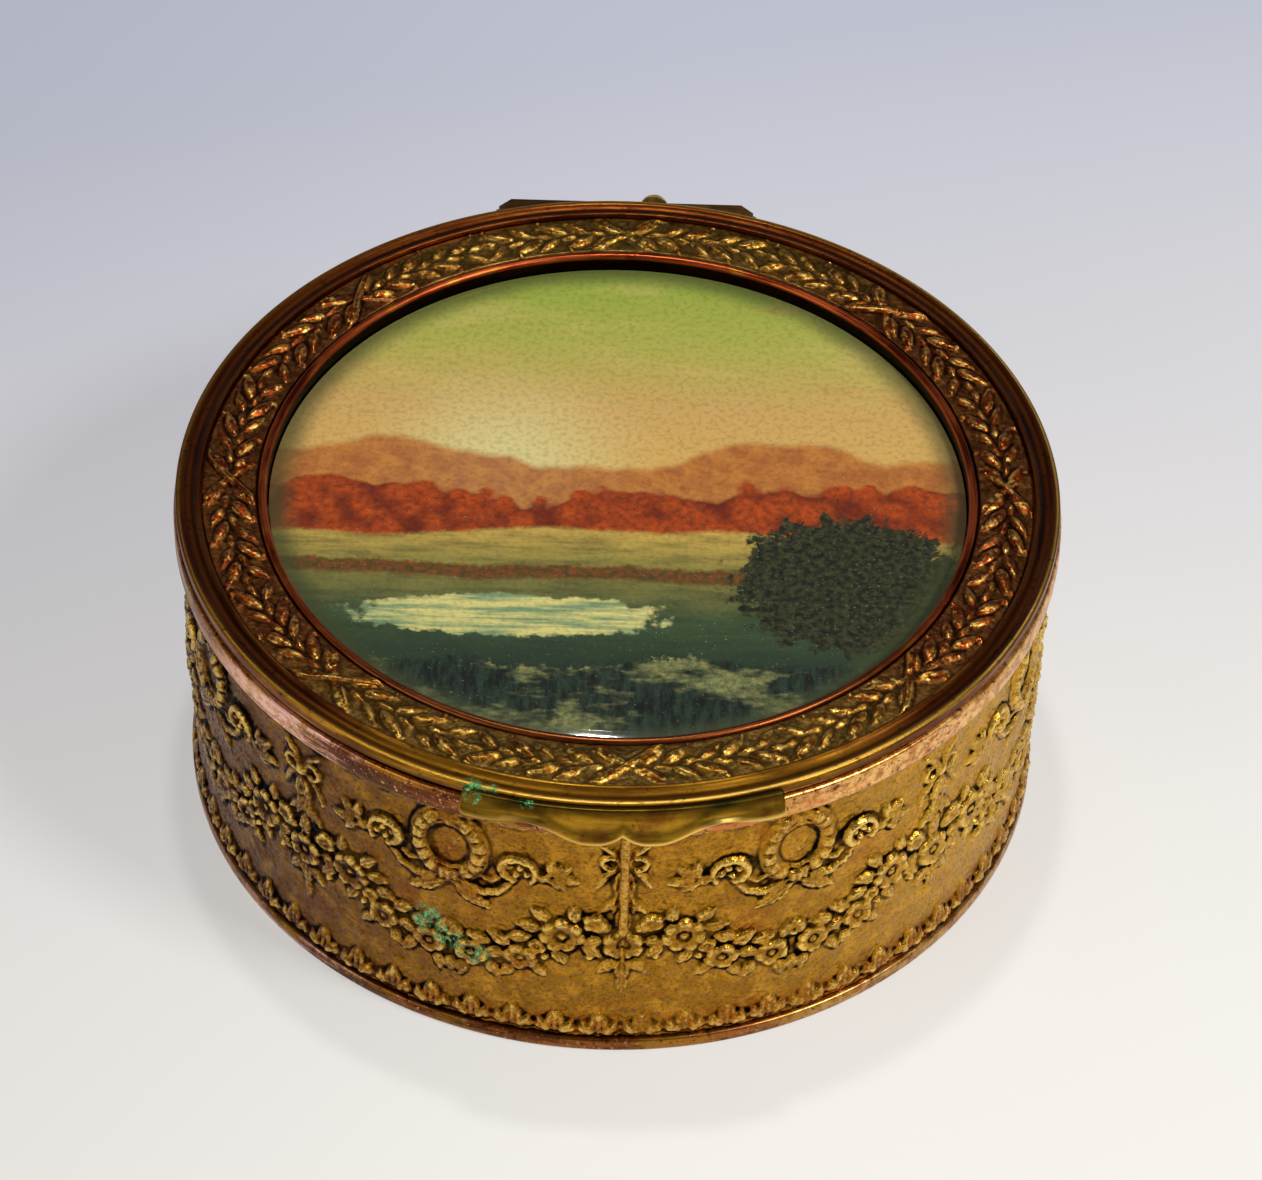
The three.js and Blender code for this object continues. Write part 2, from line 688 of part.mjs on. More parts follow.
// The bead that frames the glass, its flange under the wreath, and the prongs that
// are folded in under the backing card.
function bezelRing() {
  const bead = BEZEL_WIDTH / 2;
  const flangeOuter = bezelRadius + BEZEL_FLANGE;
  const ring = turned(
    [
      [bezelInner, prongTop],
      [bezelRadius - bead, prongTop],
      [bezelRadius - bead, flangeBottom],
      [flangeOuter, flangeBottom],
      [flangeOuter, ledgeTop],
      [bezelRadius, ledgeTop],
      ...arc(bezelRadius - bead, bezelTop - bead, bead, 0, 180, 3),
    ],
    RING_STEPS,
  );
  let bezel = solidOf(ring);
  for (let i = 0; i < PRONG_COUNT; i += 1) {
    const tip = glassRadius - PRONG_LENGTH;
    const root = (bezelInner + bezelRadius) / 2 - FIT;
    const prong = new THREE.BoxGeometry(PRONG_WIDTH, root - tip, PRONG_THICKNESS);
    const riser = new THREE.BoxGeometry(PRONG_WIDTH, root - bezelInner, 4 * PRONG_THICKNESS);
    prong.translate(0, -(root + tip) / 2, prongTop - PRONG_THICKNESS / 2);
    riser.translate(0, -(root + bezelInner) / 2, prongTop + PRONG_THICKNESS);
    const turn = (2 * Math.PI * (i + 0.5)) / PRONG_COUNT;
    bezel = bezel.add(solidOf(prong.rotateZ(turn))).add(solidOf(riser.rotateZ(turn)));
  }
  return geometryOf(bezel);
}

function glass() {
  return turned(
    [
      [0, glassBottom],
      [glassRadius, glassBottom],
      [glassRadius, glassTop - GLASS_BEVEL],
      [glassRadius - GLASS_BEVEL_WIDTH, glassTop - GLASS_CROWN],
      [0, glassTop],
    ],
    RING_STEPS,
  );
}

// A shallow tray that closes the lid from below, its wall standing up to the ledge.
function lidUnderplate() {
  const wallInside = underplateRadius - UNDERPLATE_THICKNESS;
  return turned(
    [
      [0, underplateBottom],
      [underplateRadius, underplateBottom],
      [underplateRadius, lidBottom - SEAT],
      [wallInside, lidBottom - SEAT],
      [wallInside, underplateTop],
      [0, underplateTop],
    ],
    INNER_STEPS,
  );
}

function lidPad() {
  const bottom = padTop - PAD_HEIGHT;
  return turned(
    [
      [0, bottom],
      [padRadius - PAD_ROUNDING * 3, bottom + PAD_ROUNDING * 0.15],
      [padRadius - PAD_ROUNDING * 0.75, bottom + PAD_ROUNDING * 0.5],
      [padRadius, bottom + PAD_ROUNDING],
      [padRadius, padTop],
      [0, padTop],
    ],
    INNER_STEPS,
  );
}

// How far the thumb lift hangs down at an angle from its middle, in degrees: a cusp
// between two lobes, a higher shoulder at each side, and ends with round corners.
function liftDrop(degrees) {
  const away = Math.abs(degrees);
  const lobes = 1 - THREE.MathUtils.smoothstep(away, LIFT_ANGLE * 0.21, LIFT_ANGLE * 0.6);
  const ends = THREE.MathUtils.smoothstep(away, LIFT_ANGLE * 0.6, LIFT_ANGLE * 0.9);
  const cusp = Math.max(0, 1 - away / (LIFT_ANGLE * 0.16)) ** 2;
  const toEnd = THREE.MathUtils.degToRad(LIFT_ANGLE - away) * lidRadius;
  const inCorner = Math.max(0, LIFT_CORNER - toEnd);
  const corner = LIFT_CORNER - Math.sqrt(Math.max(0, LIFT_CORNER ** 2 - inCorner ** 2));
  const edge = (LIFT_LOBE_DROP - LIFT_SHOULDER_DROP) * lobes + (LIFT_END_DROP - LIFT_SHOULDER_DROP) * ends;
  return LIFT_SHOULDER_DROP + edge - LIFT_CUSP_RISE * cusp - corner;
}

function thumbLift() {
  const top = edgeTop - LIFT_TOP;
  const seat = lidRadius + FIT;
  const inner = rimRadius + LIFT_PLAY;
  const outer = inner + LIFT_THICKNESS;
  const sections = [];
  for (let i = 0; i <= LIFT_STEPS; i += 1) {
    const degrees = LIFT_ANGLE * (1 - (2 * i) / LIFT_STEPS);
    const turn = THREE.MathUtils.degToRad(degrees + LIFT_TURN);
    const lip = top - liftDrop(degrees);
    const step = lidBottom - SEAT;
    const curl = Math.min(LIFT_CURL, (step - lip) * 0.8);
    const section = [
      [seat, top],
      [seat, lidBottom + SEAT],
      [inner, step],
      [inner, lip + curl],
      [inner + LIFT_FLARE * 0.7, lip + curl * 0.12],
      [inner + LIFT_FLARE, lip],
      [outer + LIFT_FLARE * 0.9, lip + curl * 0.06],
      [outer + LIFT_FLARE, lip + curl * 0.3],
      [outer + LIFT_FLARE * 0.2, lip + curl * 1.1],
      [outer, lidBottom + SEAT],
      [seat + LIFT_THICKNESS, top],
    ];
    const [side, front] = [Math.sin(turn), -Math.cos(turn)];
    sections.push(section.map(([reach, level]) => new THREE.Vector3(reach * side, reach * front, level)));
  }
  return lofted(sections);
}

// A cylinder along X between two places, round the hinge axis.
function onAxis(radius, from, to, steps) {
  return new THREE.CylinderGeometry(radius, radius, to - from, steps)
    .rotateZ(Math.PI / 2)
    .translate((from + to) / 2, axisY, axisZ);
}

function knucklePlaces(remainder) {
  const pitch = HINGE_LENGTH / HINGE_KNUCKLES;
  const places = [];
  for (let i = 0; i < HINGE_KNUCKLES; i += 1) {
    if (i % 2 === remainder) {
      places.push([-HINGE_LENGTH / 2 + i * pitch, -HINGE_LENGTH / 2 + (i + 1) * pitch]);
    }
  }
  return places;
}

// A leaf folded at a right angle: a flange soldered against a round ring, with its
// corners cut off, and an upright web along the hinge line.
function foldedLeaf(bottom, top, webBottom, webTop, ringRadius) {
  const half = HINGE_LENGTH / 2;
  const root = Math.sqrt(ringRadius ** 2 - half ** 2) - LEAF_CHAMFER;
  const outline = new THREE.Shape([
    new THREE.Vector2(-half, root),
    new THREE.Vector2(half, root),
    new THREE.Vector2(half, leafOuter - LEAF_CHAMFER),
    new THREE.Vector2(half - LEAF_CHAMFER, leafOuter),
    new THREE.Vector2(-half + LEAF_CHAMFER, leafOuter),
    new THREE.Vector2(-half, leafOuter - LEAF_CHAMFER),
  ]);
  const flange = new THREE.ExtrudeGeometry(outline, { depth: top - bottom, bevelEnabled: false });
  const web = new THREE.BoxGeometry(HINGE_LENGTH - 2 * LEAF_CHAMFER, LEAF_THICKNESS, webTop - webBottom);
  const height = BODY_HEIGHT * 2;
  const ring = new THREE.CylinderGeometry(ringRadius + FIT, ringRadius + FIT, height, RING_STEPS * 2);
  return solidOf(flange.translate(0, 0, bottom))
    .add(solidOf(web.translate(0, (leafInner + leafOuter) / 2, (webBottom + webTop) / 2)))
    .subtract(solidOf(ring.rotateX(Math.PI / 2).translate(0, 0, BODY_HEIGHT)));
}

// Gives a leaf its own knuckles, cuts room for the other leaf's, and bores it.
function withKnuckles(leafSolid, own, other) {
  let hinge = leafSolid;
  for (const [from, to] of other) {
    const room = onAxis(KNUCKLE_RADIUS + RUNNING, from - RUNNING / 2, to + RUNNING / 2, 16);
    hinge = hinge.subtract(solidOf(room));
  }
  for (const [from, to] of own) {
    hinge = hinge.add(solidOf(onAxis(KNUCKLE_RADIUS, from + RUNNING / 2, to - RUNNING / 2, 16)));
  }
  const bore = onAxis(PIN_RADIUS + PIN_PLAY, -HINGE_LENGTH, HINGE_LENGTH, 12);
  return hinge.subtract(solidOf(bore));
}

function bodyLeaf() {
  const flangeTop = axisZ - KNUCKLE_RADIUS - RUNNING;
  const bottom = axisZ - BODY_LEAF_DROP;
  const webTop = flangeTop + KNUCKLE_RADIUS;
  const plain = foldedLeaf(bottom, bottom + LEAF_THICKNESS, bottom, webTop, rimRadius);
  return geometryOf(withKnuckles(plain, knucklePlaces(1), knucklePlaces(0)));
}

function lidLeaf() {
  const top = lidBottom + LEAF_THICKNESS;
  const plain = foldedLeaf(lidBottom, top, axisZ + KNUCKLE_RADIUS / 2, top, lidRadius);
  const bore = STUD_RADIUS / 3 + FIT;
  const hole = new THREE.CylinderGeometry(bore, bore, 4 * LEAF_THICKNESS, 12);
  hole.translate(STUD_PLACE, leafOuter, top - STUD_DROP);
  return geometryOf(withKnuckles(plain, knucklePlaces(0), knucklePlaces(1)).subtract(solidOf(hole)));
}

function hingePin() {
  const half = HINGE_LENGTH / 2;
  const head = [
    [PIN_RADIUS, half + SEAT],
    [PIN_RADIUS * 1.7, half + SEAT],
    [PIN_RADIUS * 1.3, half + SEAT + PIN_HEAD],
  ];
  const profile = [
    [0, -half - SEAT - PIN_HEAD],
    ...head.map(([radius, reach]) => [radius, -reach]).reverse(),
    ...head,
    [0, half + SEAT + PIN_HEAD],
  ];
  const pin = turned(profile, 12).rotateY(Math.PI / 2);
  return pin.translate(0, axisY, axisZ);
}

// A domed rivet through the lid's leaf.
function hingeStud() {
  const shank = STUD_RADIUS / 3;
  const dome = [];
  for (let i = 0; i <= 4; i += 1) {
    const angle = (Math.PI * i) / 8;
    dome.push([STUD_RADIUS * Math.cos(angle), SEAT + STUD_PROUD * Math.sin(angle)]);
  }
  dome[dome.length - 1][0] = 0;
  const profile = [[0, -LEAF_THICKNESS], [shank, -LEAF_THICKNESS], [shank, SEAT], ...dome];
  const stud = turned(profile, 16).rotateX(-Math.PI / 2);
  return stud.translate(STUD_PLACE, leafOuter, lidBottom + LEAF_THICKNESS - STUD_DROP);
}

const body = new THREE.Group();
body.add(piece("foot_ring", footRing(), COPPERY));
body.add(piece("base_plate", disc(drumOuter, plateBottom, plateTop, INNER_STEPS), DARK_BRASS));
body.add(piece("inner_drum", innerDrum(), DARK_BRASS));
body.add(piece("embossed_wall", embossedWall(), GILT));
body.add(piece("seam_strip", seamStrip(), GILT));
body.add(piece("body_rim", bodyRim(), COPPERY));
const liningWall = tube(liningInner, liningOuter, insideBottom, collarTop - LINING_DROP, INNER_STEPS);
body.add(piece("lining_wall", liningWall, VELVET));
body.add(piece("lining_floor", liningFloor(), VELVET));
body.add(piece("hinge_leaf_body", bodyLeaf(), DARK_BRASS));
body.add(piece("hinge_pin", hingePin(), DARK_BRASS));

const lid = new THREE.Group();
const paintedSheet = disc(glassRadius, pictureTop - PICTURE_THICKNESS, pictureTop, INNER_STEPS);
lid.add(piece("lid_rim", lidRim(), GILT));
lid.add(piece("wreath_band", wreathBand(), GILT));
lid.add(piece("bezel_ring", bezelRing(), COPPERY));
lid.add(piece("glass", glass(), GLASS));
lid.add(piece("picture", paintedSheet, PAINTED));
lid.add(piece("backing_card", disc(glassRadius, cardBottom, cardTop, INNER_STEPS), CARD));
lid.add(piece("lid_underplate", lidUnderplate(), DARK_BRASS));
lid.add(piece("lid_pad", lidPad(), SILK));
lid.add(piece("thumb_lift", thumbLift(), GILT));
lid.add(piece("hinge_leaf_lid", lidLeaf(), DARK_BRASS));
lid.add(piece("hinge_stud", hingeStud(), GILT));

const box = new THREE.Group();
box.add(body, lid);

export default box;
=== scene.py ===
import json
import math

import bmesh
import bpy
import numpy as np
from mathutils import Matrix, Vector


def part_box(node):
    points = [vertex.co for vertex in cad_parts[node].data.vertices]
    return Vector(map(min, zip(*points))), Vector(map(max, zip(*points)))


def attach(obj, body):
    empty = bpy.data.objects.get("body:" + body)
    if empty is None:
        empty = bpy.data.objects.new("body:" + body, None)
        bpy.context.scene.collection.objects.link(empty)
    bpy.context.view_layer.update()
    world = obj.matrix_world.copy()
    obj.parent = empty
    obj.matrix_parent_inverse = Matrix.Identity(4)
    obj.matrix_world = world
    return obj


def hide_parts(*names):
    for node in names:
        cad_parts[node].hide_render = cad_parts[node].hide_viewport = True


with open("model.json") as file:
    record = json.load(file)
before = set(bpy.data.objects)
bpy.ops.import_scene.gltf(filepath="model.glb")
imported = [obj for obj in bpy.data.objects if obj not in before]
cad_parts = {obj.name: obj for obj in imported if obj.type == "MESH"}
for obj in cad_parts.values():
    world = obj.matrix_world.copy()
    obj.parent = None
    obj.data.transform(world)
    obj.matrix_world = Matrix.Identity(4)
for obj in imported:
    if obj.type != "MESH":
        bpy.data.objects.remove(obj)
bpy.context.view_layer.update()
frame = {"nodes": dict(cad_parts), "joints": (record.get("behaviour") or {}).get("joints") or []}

MM = 0.001


def box_mm(node):
    low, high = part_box(node)
    return np.array(low) / MM, np.array(high) / MM


# Sizes read from the frame
wall_low, wall_high = box_mm("embossed_wall")
foot_high = box_mm("foot_ring")[1]
drum_low, drum_high = box_mm("inner_drum")
rim_low, rim_high = box_mm("body_rim")
lid_low, lid_high = box_mm("lid_rim")
wreath_low, wreath_high = box_mm("wreath_band")
bezel_low, bezel_high = box_mm("bezel_ring")
glass_low, glass_high = box_mm("glass")
picture_low, picture_high = box_mm("picture")
pad_low, pad_high = box_mm("lid_pad")
floor_low, floor_high = box_mm("lining_floor")
lining_low, lining_high = box_mm("lining_wall")
underplate_low, underplate_high = box_mm("lid_underplate")
strip_low, strip_high = box_mm("seam_strip")
lift_high = box_mm("thumb_lift")[1]
stud_low, stud_high = box_mm("hinge_stud")
hinge_place = frame["joints"][0]["pos_m"]

# Clearances: between pieces side by side, and between a piece and what it lies on
BESIDE = 0.2
ON_TOP = 0.15

# Body
FOOT_LIP = 0.8
FOOT_LIP_WIDTH = 3
FOOT_ROUNDING = 0.45
RIM_ROUNDING = 0.7
WALL_RADIUS = 51.05  # ground of the stamped wall
WALL_THICKNESS = 0.8
DRUM_THICKNESS = 1
COLLAR_THICKNESS = 0.6
LINING_THICKNESS = 0.8
LINING_ROUNDING = 0.35
PAD_ROUNDING = 1.6

# Lid
EDGE_HEIGHT = 1.5
EDGE_ROUNDING = 0.4
EDGE_ROLL = 0.42
COVE_WIDTH = 1.6
COVE_DEPTH = 0.35
CREST_WIDTH = 0.5
LEDGE_WIDTH = 2.4
UNDERPLATE_THICKNESS = 0.35
WREATH_WIDTH = 6.3
WREATH_RELIEF = 0.65
BEZEL_WIDTH = 1.1
BEZEL_FLANGE = 1.7
BEZEL_FLANGE_THICKNESS = 0.55
PRONGS = 6
PRONG_WIDTH = 3
PRONG_THICKNESS = 0.25
PRONG_REACH = 2.6
PRONG_TIP = 1.1  # rounding of its corners
GLASS_BEVEL = 0.5
GLASS_BEVEL_WIDTH = 1.6

# Thumb lift
LIFT_ANGLE = 19.6  # degrees each way from its middle
LIFT_TURN = 1.7  # degrees that its middle lies to the right of the front
LIFT_THICKNESS = 0.6
LIFT_FLARE = 0.6
LIFT_CURL = 1.5
LIFT_SHOULDER_DROP = 2
LIFT_END_DROP = 2.9
LIFT_LOBE_DROP = 4.8
LIFT_CUSP_RISE = 1.5
LIFT_CORNER = 0.8
LIFT_PLAY = 0.4
LIFT_BEND = 0.15
LIFT_STEPS = 240

# Hinge
HINGE_LENGTH = 32
PIN_RADIUS = 0.5
PIN_HEAD = 1.7  # its width against the pin's
LEAF_THICKNESS = 0.45
LEAF_ROUNDING = 0.07
STUD_WIDENING = 1.3

# Ornament
REPEATS = 8
RELIEF = 1.2
RELIEF_PITCH = 0.2
TONGUES = 64
TONGUE_PITCH = 2 * math.pi * WALL_RADIUS / TONGUES
HALF_SECTOR = math.pi * WALL_RADIUS / REPEATS  # from an oval's middle to the pendant's
OVAL = (0, 30.6)
OVAL_SIZE = (2.7, 3.3)
SEAM_HALF = 0.65
SEAM_THICKNESS = 0.8
WALL_TURN = 2.2  # degrees that the wall's joint lies to the right of the front
WREATH_LEAVES = 5  # from a tie to halfway to the next
WREATH_ROWS, WREATH_COLUMNS = 38, 1440
FRONT_TIE_SHIFT = 1.9
WORN_HEIGHT, WORN_SPREAD = 0.84, 0.13  # shares of the full height
STAMP_SOFTNESS = 0.6  # in cells of the height field
WALL_GRIT, WREATH_GRIT = 0.06, 0.022

ROUND_STEPS = 360
CURL_STEPS = 14

wreath_outer = lid_high[0] - 2 * EDGE_ROUNDING - COVE_WIDTH - CREST_WIDTH - BESIDE
wreath_inner = wreath_outer - WREATH_WIDTH
wreath_middle = (wreath_inner + wreath_outer) / 2
bezel_outer = wreath_inner - BESIDE


# Meshes


def added(name, data):
    made = bpy.data.objects.new(name, data)
    bpy.context.scene.collection.objects.link(made)
    return made


def mesh_object(name, points, faces, uvs=None, crease=None):
    """A smooth mesh from points in millimetres. uvs holds one pair per face corner."""
    mesh = bpy.data.meshes.new(name)
    mesh.from_pydata(np.asarray(points, float).reshape(-1, 3) * MM, [], faces)
    mesh.shade_smooth()
    if uvs is not None:
        layer = mesh.uv_layers.new(name="OFBake")
        layer.uv.foreach_set("vector", np.asarray(uvs, np.float32).ravel())
    if crease is not None:
        mesh.set_sharp_from_angle(angle=math.radians(crease))
    mesh.update()
    return added(name, mesh)


def grid(node, points, wrap_rows=False, folds=1, crease=None):
    """The fine piece of a node from an array of rows, columns and coordinates.

    Its columns wrap round. Its map is cut into a number of bands laid above one
    another, so that a long strip fills a square.
    """
    rows, columns = points.shape[:2]
    row = np.arange(rows if wrap_rows else rows - 1)
    r, c = np.meshgrid(row, np.arange(columns), indexing="ij")
    next_r, next_c = (r + 1) % rows, (c + 1) % columns
    corners = [r * columns + c, r * columns + next_c, next_r * columns + next_c, next_r * columns + c]
    faces = np.stack(corners, -1).reshape(-1, 4)

    steps = np.linalg.norm(np.diff(points[:, 0], axis=0, append=points[:1, 0]), axis=1)
    reach = np.concatenate([[0], np.cumsum(steps)])[: len(row) + 1]
    share = reach / reach[-1]
    per_band = math.ceil(columns / folds)
    band, inside = c // per_band, c % per_band
    low, high = 0.01 + 0.98 * share[r], 0.01 + 0.98 * share[r + 1]
    left, right = 0.004 + 0.992 * inside / per_band, 0.004 + 0.992 * (inside + 1) / per_band
    pairs = [(left, low), (right, low), (right, high), (left, high)]
    uvs = np.stack([np.stack([u, (band + v) / folds], -1) for u, v in pairs], 2)
    return mesh_object(f"{node}_fine", points, faces.tolist(), uvs, crease)


def turned(node, profile, steps=ROUND_STEPS, folds=4, closed=True, crease=40):
    """A turned piece from [radius, height] points, up on its outside."""
    profile = np.asarray(profile, float)
    angle = np.linspace(0, 2 * math.pi, steps, endpoint=False)
    across, up = profile[:, :1], profile[:, 1:2]
    points = np.stack([across * np.cos(angle), across * np.sin(angle), up + 0 * angle], -1)
    return grid(node, points, closed, folds, crease)


def block(inner, outer, low, top):
    return [(inner, low), (outer, low), (outer, top), (inner, top)]


def bend(start, middle, end, share):
    """Points of a curve that leaves start and reaches end, both heading for the middle."""
    return (1 - share) ** 2 * start + 2 * share * (1 - share) * middle + share**2 * end


def rounded(profile, rounding, steps=4):
    """The closed profile with each corner rounded: rounding is one size or one per corner."""
    corners = np.asarray(profile, float)
    sizes = np.broadcast_to(rounding, len(corners))
    made = []
    for i, corner in enumerate(corners):
        before = corners[i - 1] - corner
        after = corners[(i + 1) % len(corners)] - corner
        size = min(sizes[i], np.linalg.norm(before) * 0.45, np.linalg.norm(after) * 0.45)
        if size <= 0:
            made.append(corner)
            continue
        start = corner + before / np.linalg.norm(before) * size
        end = corner + after / np.linalg.norm(after) * size
        made.extend(bend(start, corner, end, share) for share in np.linspace(0, 1, steps + 1))
    return np.array(made)


def round_axis(reach, turn, level):
    """Points round the box's axis, where turn 0 is the front and grows to the right."""
    return np.stack([reach * np.sin(turn), -reach * np.cos(turn), level], -1)


def attributes(obj, **fields):
    """Values for the points in their order. Those left over at the end get 0."""
    for name, values in fields.items():
        filled = np.zeros(len(obj.data.vertices), np.float32)
        filled[: np.size(values)] = np.ravel(values)
        obj.data.attributes.new(name, "FLOAT", "POINT").data.foreach_set("value", filled)


def coated(obj, material):
    obj.data.materials.clear()
    obj.data.materials.append(material)


def finished(obj, body, material):
    """Coats a fine piece and lets it ride in place of the node that its name begins with."""
    coated(obj, material)
    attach(obj, body)
    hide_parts(obj.name.removesuffix("_fine"))


def ring(node, corners, rounding, body, slot, material, steps=4):
    """A turned piece from its corners, each rounded in a number of steps."""
    finished(turned(node, rounded(corners, rounding, steps)), body, material)


# Relief: heights over a flat band, in millimetres. Each form is a function of the
# places x and y and gives the height there; forms are joined by taking the higher.


def ridge(away, width):
    """1 on a line, fading to both sides of it."""
    return np.exp(-((away / width) ** 2))


def dome(side, power):
    """1 in the middle, falling to 0 where side is 1 or more. A higher power is squarer."""
    return np.clip(1 - side**power, 0, 1) ** 0.5


def smooth(low, high, value):
    share = np.clip((value - low) / (high - low), 0, 1)
    return share * share * (3 - 2 * share)


def local(x, y, at, degrees):
    turn = math.radians(degrees)
    dx, dy = x - at[0], y - at[1]
    return dx * math.cos(turn) + dy * math.sin(turn), dy * math.cos(turn) - dx * math.sin(turn)


def blade(x, y, at, degrees, length, width, height=0.95, teeth=0.0):
    """A cupped leaf from its stem to its tip, with a raised vein and a raised edge."""
    along, across = local(x, y, at, degrees)
    share = np.clip(along / length, 0, 1)
    half = width / 2 * np.sin(math.pi * share**0.72) ** 0.75 + 1e-6
    if teeth:
        half = half * (1 + teeth * (np.abs((along / length * 5) % 1 - 0.5) - 0.25))
    side = np.abs(across) / half
    body = dome(side, 5) * (0.62 + 0.38 * side**2)
    vein = 0.3 * ridge(across, 0.08 * width) * (1 - 0.5 * share)
    beside = 0.22 * ridge(np.abs(across) - 0.16 * width, 0.07 * width)
    ribs = 0.09 * np.cos(2 * math.pi * (along - 0.8 * np.abs(across)) / (0.17 * length))
    rise = 0.6 + 0.4 * np.sin(math.pi * share**0.8)
    inside = (along > 0) & (along < length) & (side < 1)
    return np.where(inside, height * rise * (body + vein - beside + ribs * side), 0)


def plump(x, y, at, degrees, length, width, height):
    """A smooth drop-shaped leaf with a rounded back."""
    along, across = local(x, y, at, degrees)
    share = np.clip(along / length, 0, 1)
    half = width / 2 * np.sin(math.pi * share**0.8) ** 0.7 + 1e-6
    rise = 0.5 + 0.5 * np.sin(math.pi * share**0.7)
    return np.where((along > 0) & (along < length), height * rise * dome(np.abs(across) / half, 2.5), 0)


def flower(x, y, at, radius, height, petals, turn=0.0):
    """Cupped petals with raised edges round a domed eye."""
    dx, dy = x - at[0], y - at[1]
    reach = np.hypot(dx, dy)
    angle = np.arctan2(dy, dx) + math.radians(turn)
    wave = np.abs(np.cos(petals * angle / 2))
    edge = radius * (0.84 + 0.16 * wave**0.7)
    share = np.clip(reach / edge, 0, 1)
    cup = 0.25 + 0.75 * share**1.2
    cleft = 1 - 0.38 * ridge(wave, 0.3) * smooth(0.35, 0.7, share)
    petal = dome(share, 7) * cup * cleft * smooth(0.15, 0.4, share)
    return height * np.maximum(petal, dome(reach / (0.26 * radius), 2) * 0.62)


def bead(x, y, at, radius, height):
    return height * dome(np.hypot(x - at[0], y - at[1]) / radius, 2)


def strand(x, y, path, widths, height, groove=0.0):
    """A round-backed strand along points, its width changing from end to end."""
    path = np.asarray(path, float)
    widths = np.broadcast_to(widths, len(path))
    best = np.zeros_like(x)
    for (start, end), (wide, narrow) in zip(zip(path, path[1:]), zip(widths, widths[1:])):
        way = end - start
        share = np.clip(((x - start[0]) * way[0] + (y - start[1]) * way[1]) / (way @ way), 0, 1)
        gap = np.hypot(x - start[0] - share * way[0], y - start[1] - share * way[1])
        half = (wide + (narrow - wide) * share) / 2
        level = dome(gap / half, 2) * (1 - groove * ridge(gap / half, 0.3))
        best = np.maximum(best, height * np.minimum(1, 2 * half / widths.max() + 0.25) * level)
    return best


def curl(at, radius, start, sweep, shrink):
    """Points of a scroll that tightens as it goes round."""
    share = np.linspace(0, 1, CURL_STEPS)
    angle = np.radians(start + sweep * share)
    reach = radius * (1 - shrink * share)
    return np.stack([at[0] + reach * np.cos(angle), at[1] + reach * np.sin(angle)], -1)


def joined(*heights):
    return np.maximum.reduce(heights)


def softened(values, cells):
    """Values blurred by a number of cells. The columns wrap round."""
    pad = int(4 * cells) + 1
    tall = np.pad(values, ((pad, pad), (0, 0)), mode="edge")
    down = np.fft.fftfreq(tall.shape[0])[:, None]
    along = np.fft.rfftfreq(tall.shape[1])[None, :]
    blur = np.exp(-2 * (math.pi * cells) ** 2 * (down**2 + along**2))
    return np.fft.irfft2(np.fft.rfft2(tall) * blur, tall.shape)[pad:-pad]


def mottled(choice, values, cells, low, high):
    """Random unevenness over an array like values, its spread about 1."""
    drawn = softened(choice.normal(size=values.shape), cells)
    return np.clip(drawn / drawn.std(), low, high)


def worn(choice, heights, cells, low, high):
    """Heights rubbed down unevenly."""
    return heights * (WORN_HEIGHT + WORN_SPREAD * mottled(choice, heights, cells, low, high))


def ripple(angle, height, seed):
    """Slow uneven waves round a ring, from -1 to 1."""
    choice = np.random.default_rng(seed)
    total = np.zeros(np.broadcast(angle, height).shape)
    for _ in range(9):
        turns = choice.integers(2, 15)
        total += np.sin(turns * angle + choice.uniform(0.05, 0.5) * height + choice.uniform(0, 6.28))
    return total / 9 * 1.6


# The wall's ornament: x runs from an oval's middle, z is the level above the table


def stamped(x, z, *rows):
    """The forms of some rows, each of them a function and what it is called with."""
    return joined(*(form(x, z, *rest) for form, *rest in rows))


def cartouche(x, z):
    """The oval with its beaded sides, its knot and the sprays that cross under it."""
    dx, dz = x - OVAL[0], z - OVAL[1]
    angle = np.arctan2(dz / OVAL_SIZE[1], dx / OVAL_SIZE[0])
    oval = np.hypot(dx / OVAL_SIZE[0], dz / OVAL_SIZE[1])
    mean = (OVAL_SIZE[0] + OVAL_SIZE[1]) / 2
    sides = smooth(0.1, 0.6, np.abs(np.cos(angle)))
    gaps = ridge(np.sin(8 * angle), 0.26) * sides
    beads = dome((oval - 1.36) * mean / (0.4 + 0.5 * sides), 4)
    knot = 1.05 * dome(np.maximum(np.abs(x) / 1.15, np.abs(z - 26.0) / 0.95), 6)
    sweep = ((1.0, 26.2), (2.2, 24.9), (4.0, 24.3), (5.9, 25.0), (7.2, 26.6))
    sprays = stamped(
        x, z,
        (strand, sweep, (1, 1.1, 1, 0.9, 0.6), 0.75, 0.5),
        (strand, ((3.4, 27.0), (4.9, 26.3), (5.8, 27.1)), (0.6, 0.7, 0.6), 0.5),
        (strand, ((-0.7, 25.3), (0.9, 24.4)), 0.6, 0.6),
        (blade, (0.6, 24.7), -34, 5.4, 2.0, 0.9, 0.5),
        (blade, (0.1, 34.0), 66, 2.0, 1.2, 0.6),
        (bead, (0, 34.5), 0.6, 0.7),
    )
    return joined(
        0.7 * ridge((oval - 1.04) * mean, 0.2),
        (0.45 + 0.6 * sides) * beads * (1 - 0.5 * gaps),
        0.5 * ridge((oval - 1.72) * mean, 0.2) * sides,
        0.3 * strand(x, z, ((0, 29.6), (1.1, 31.9)), 0.4, 1) * np.clip(1 - oval**6, 0, 1),
        knot * (1 - 0.3 * ridge(np.abs(x) - 0.4, 0.15)),
        sprays,
    )


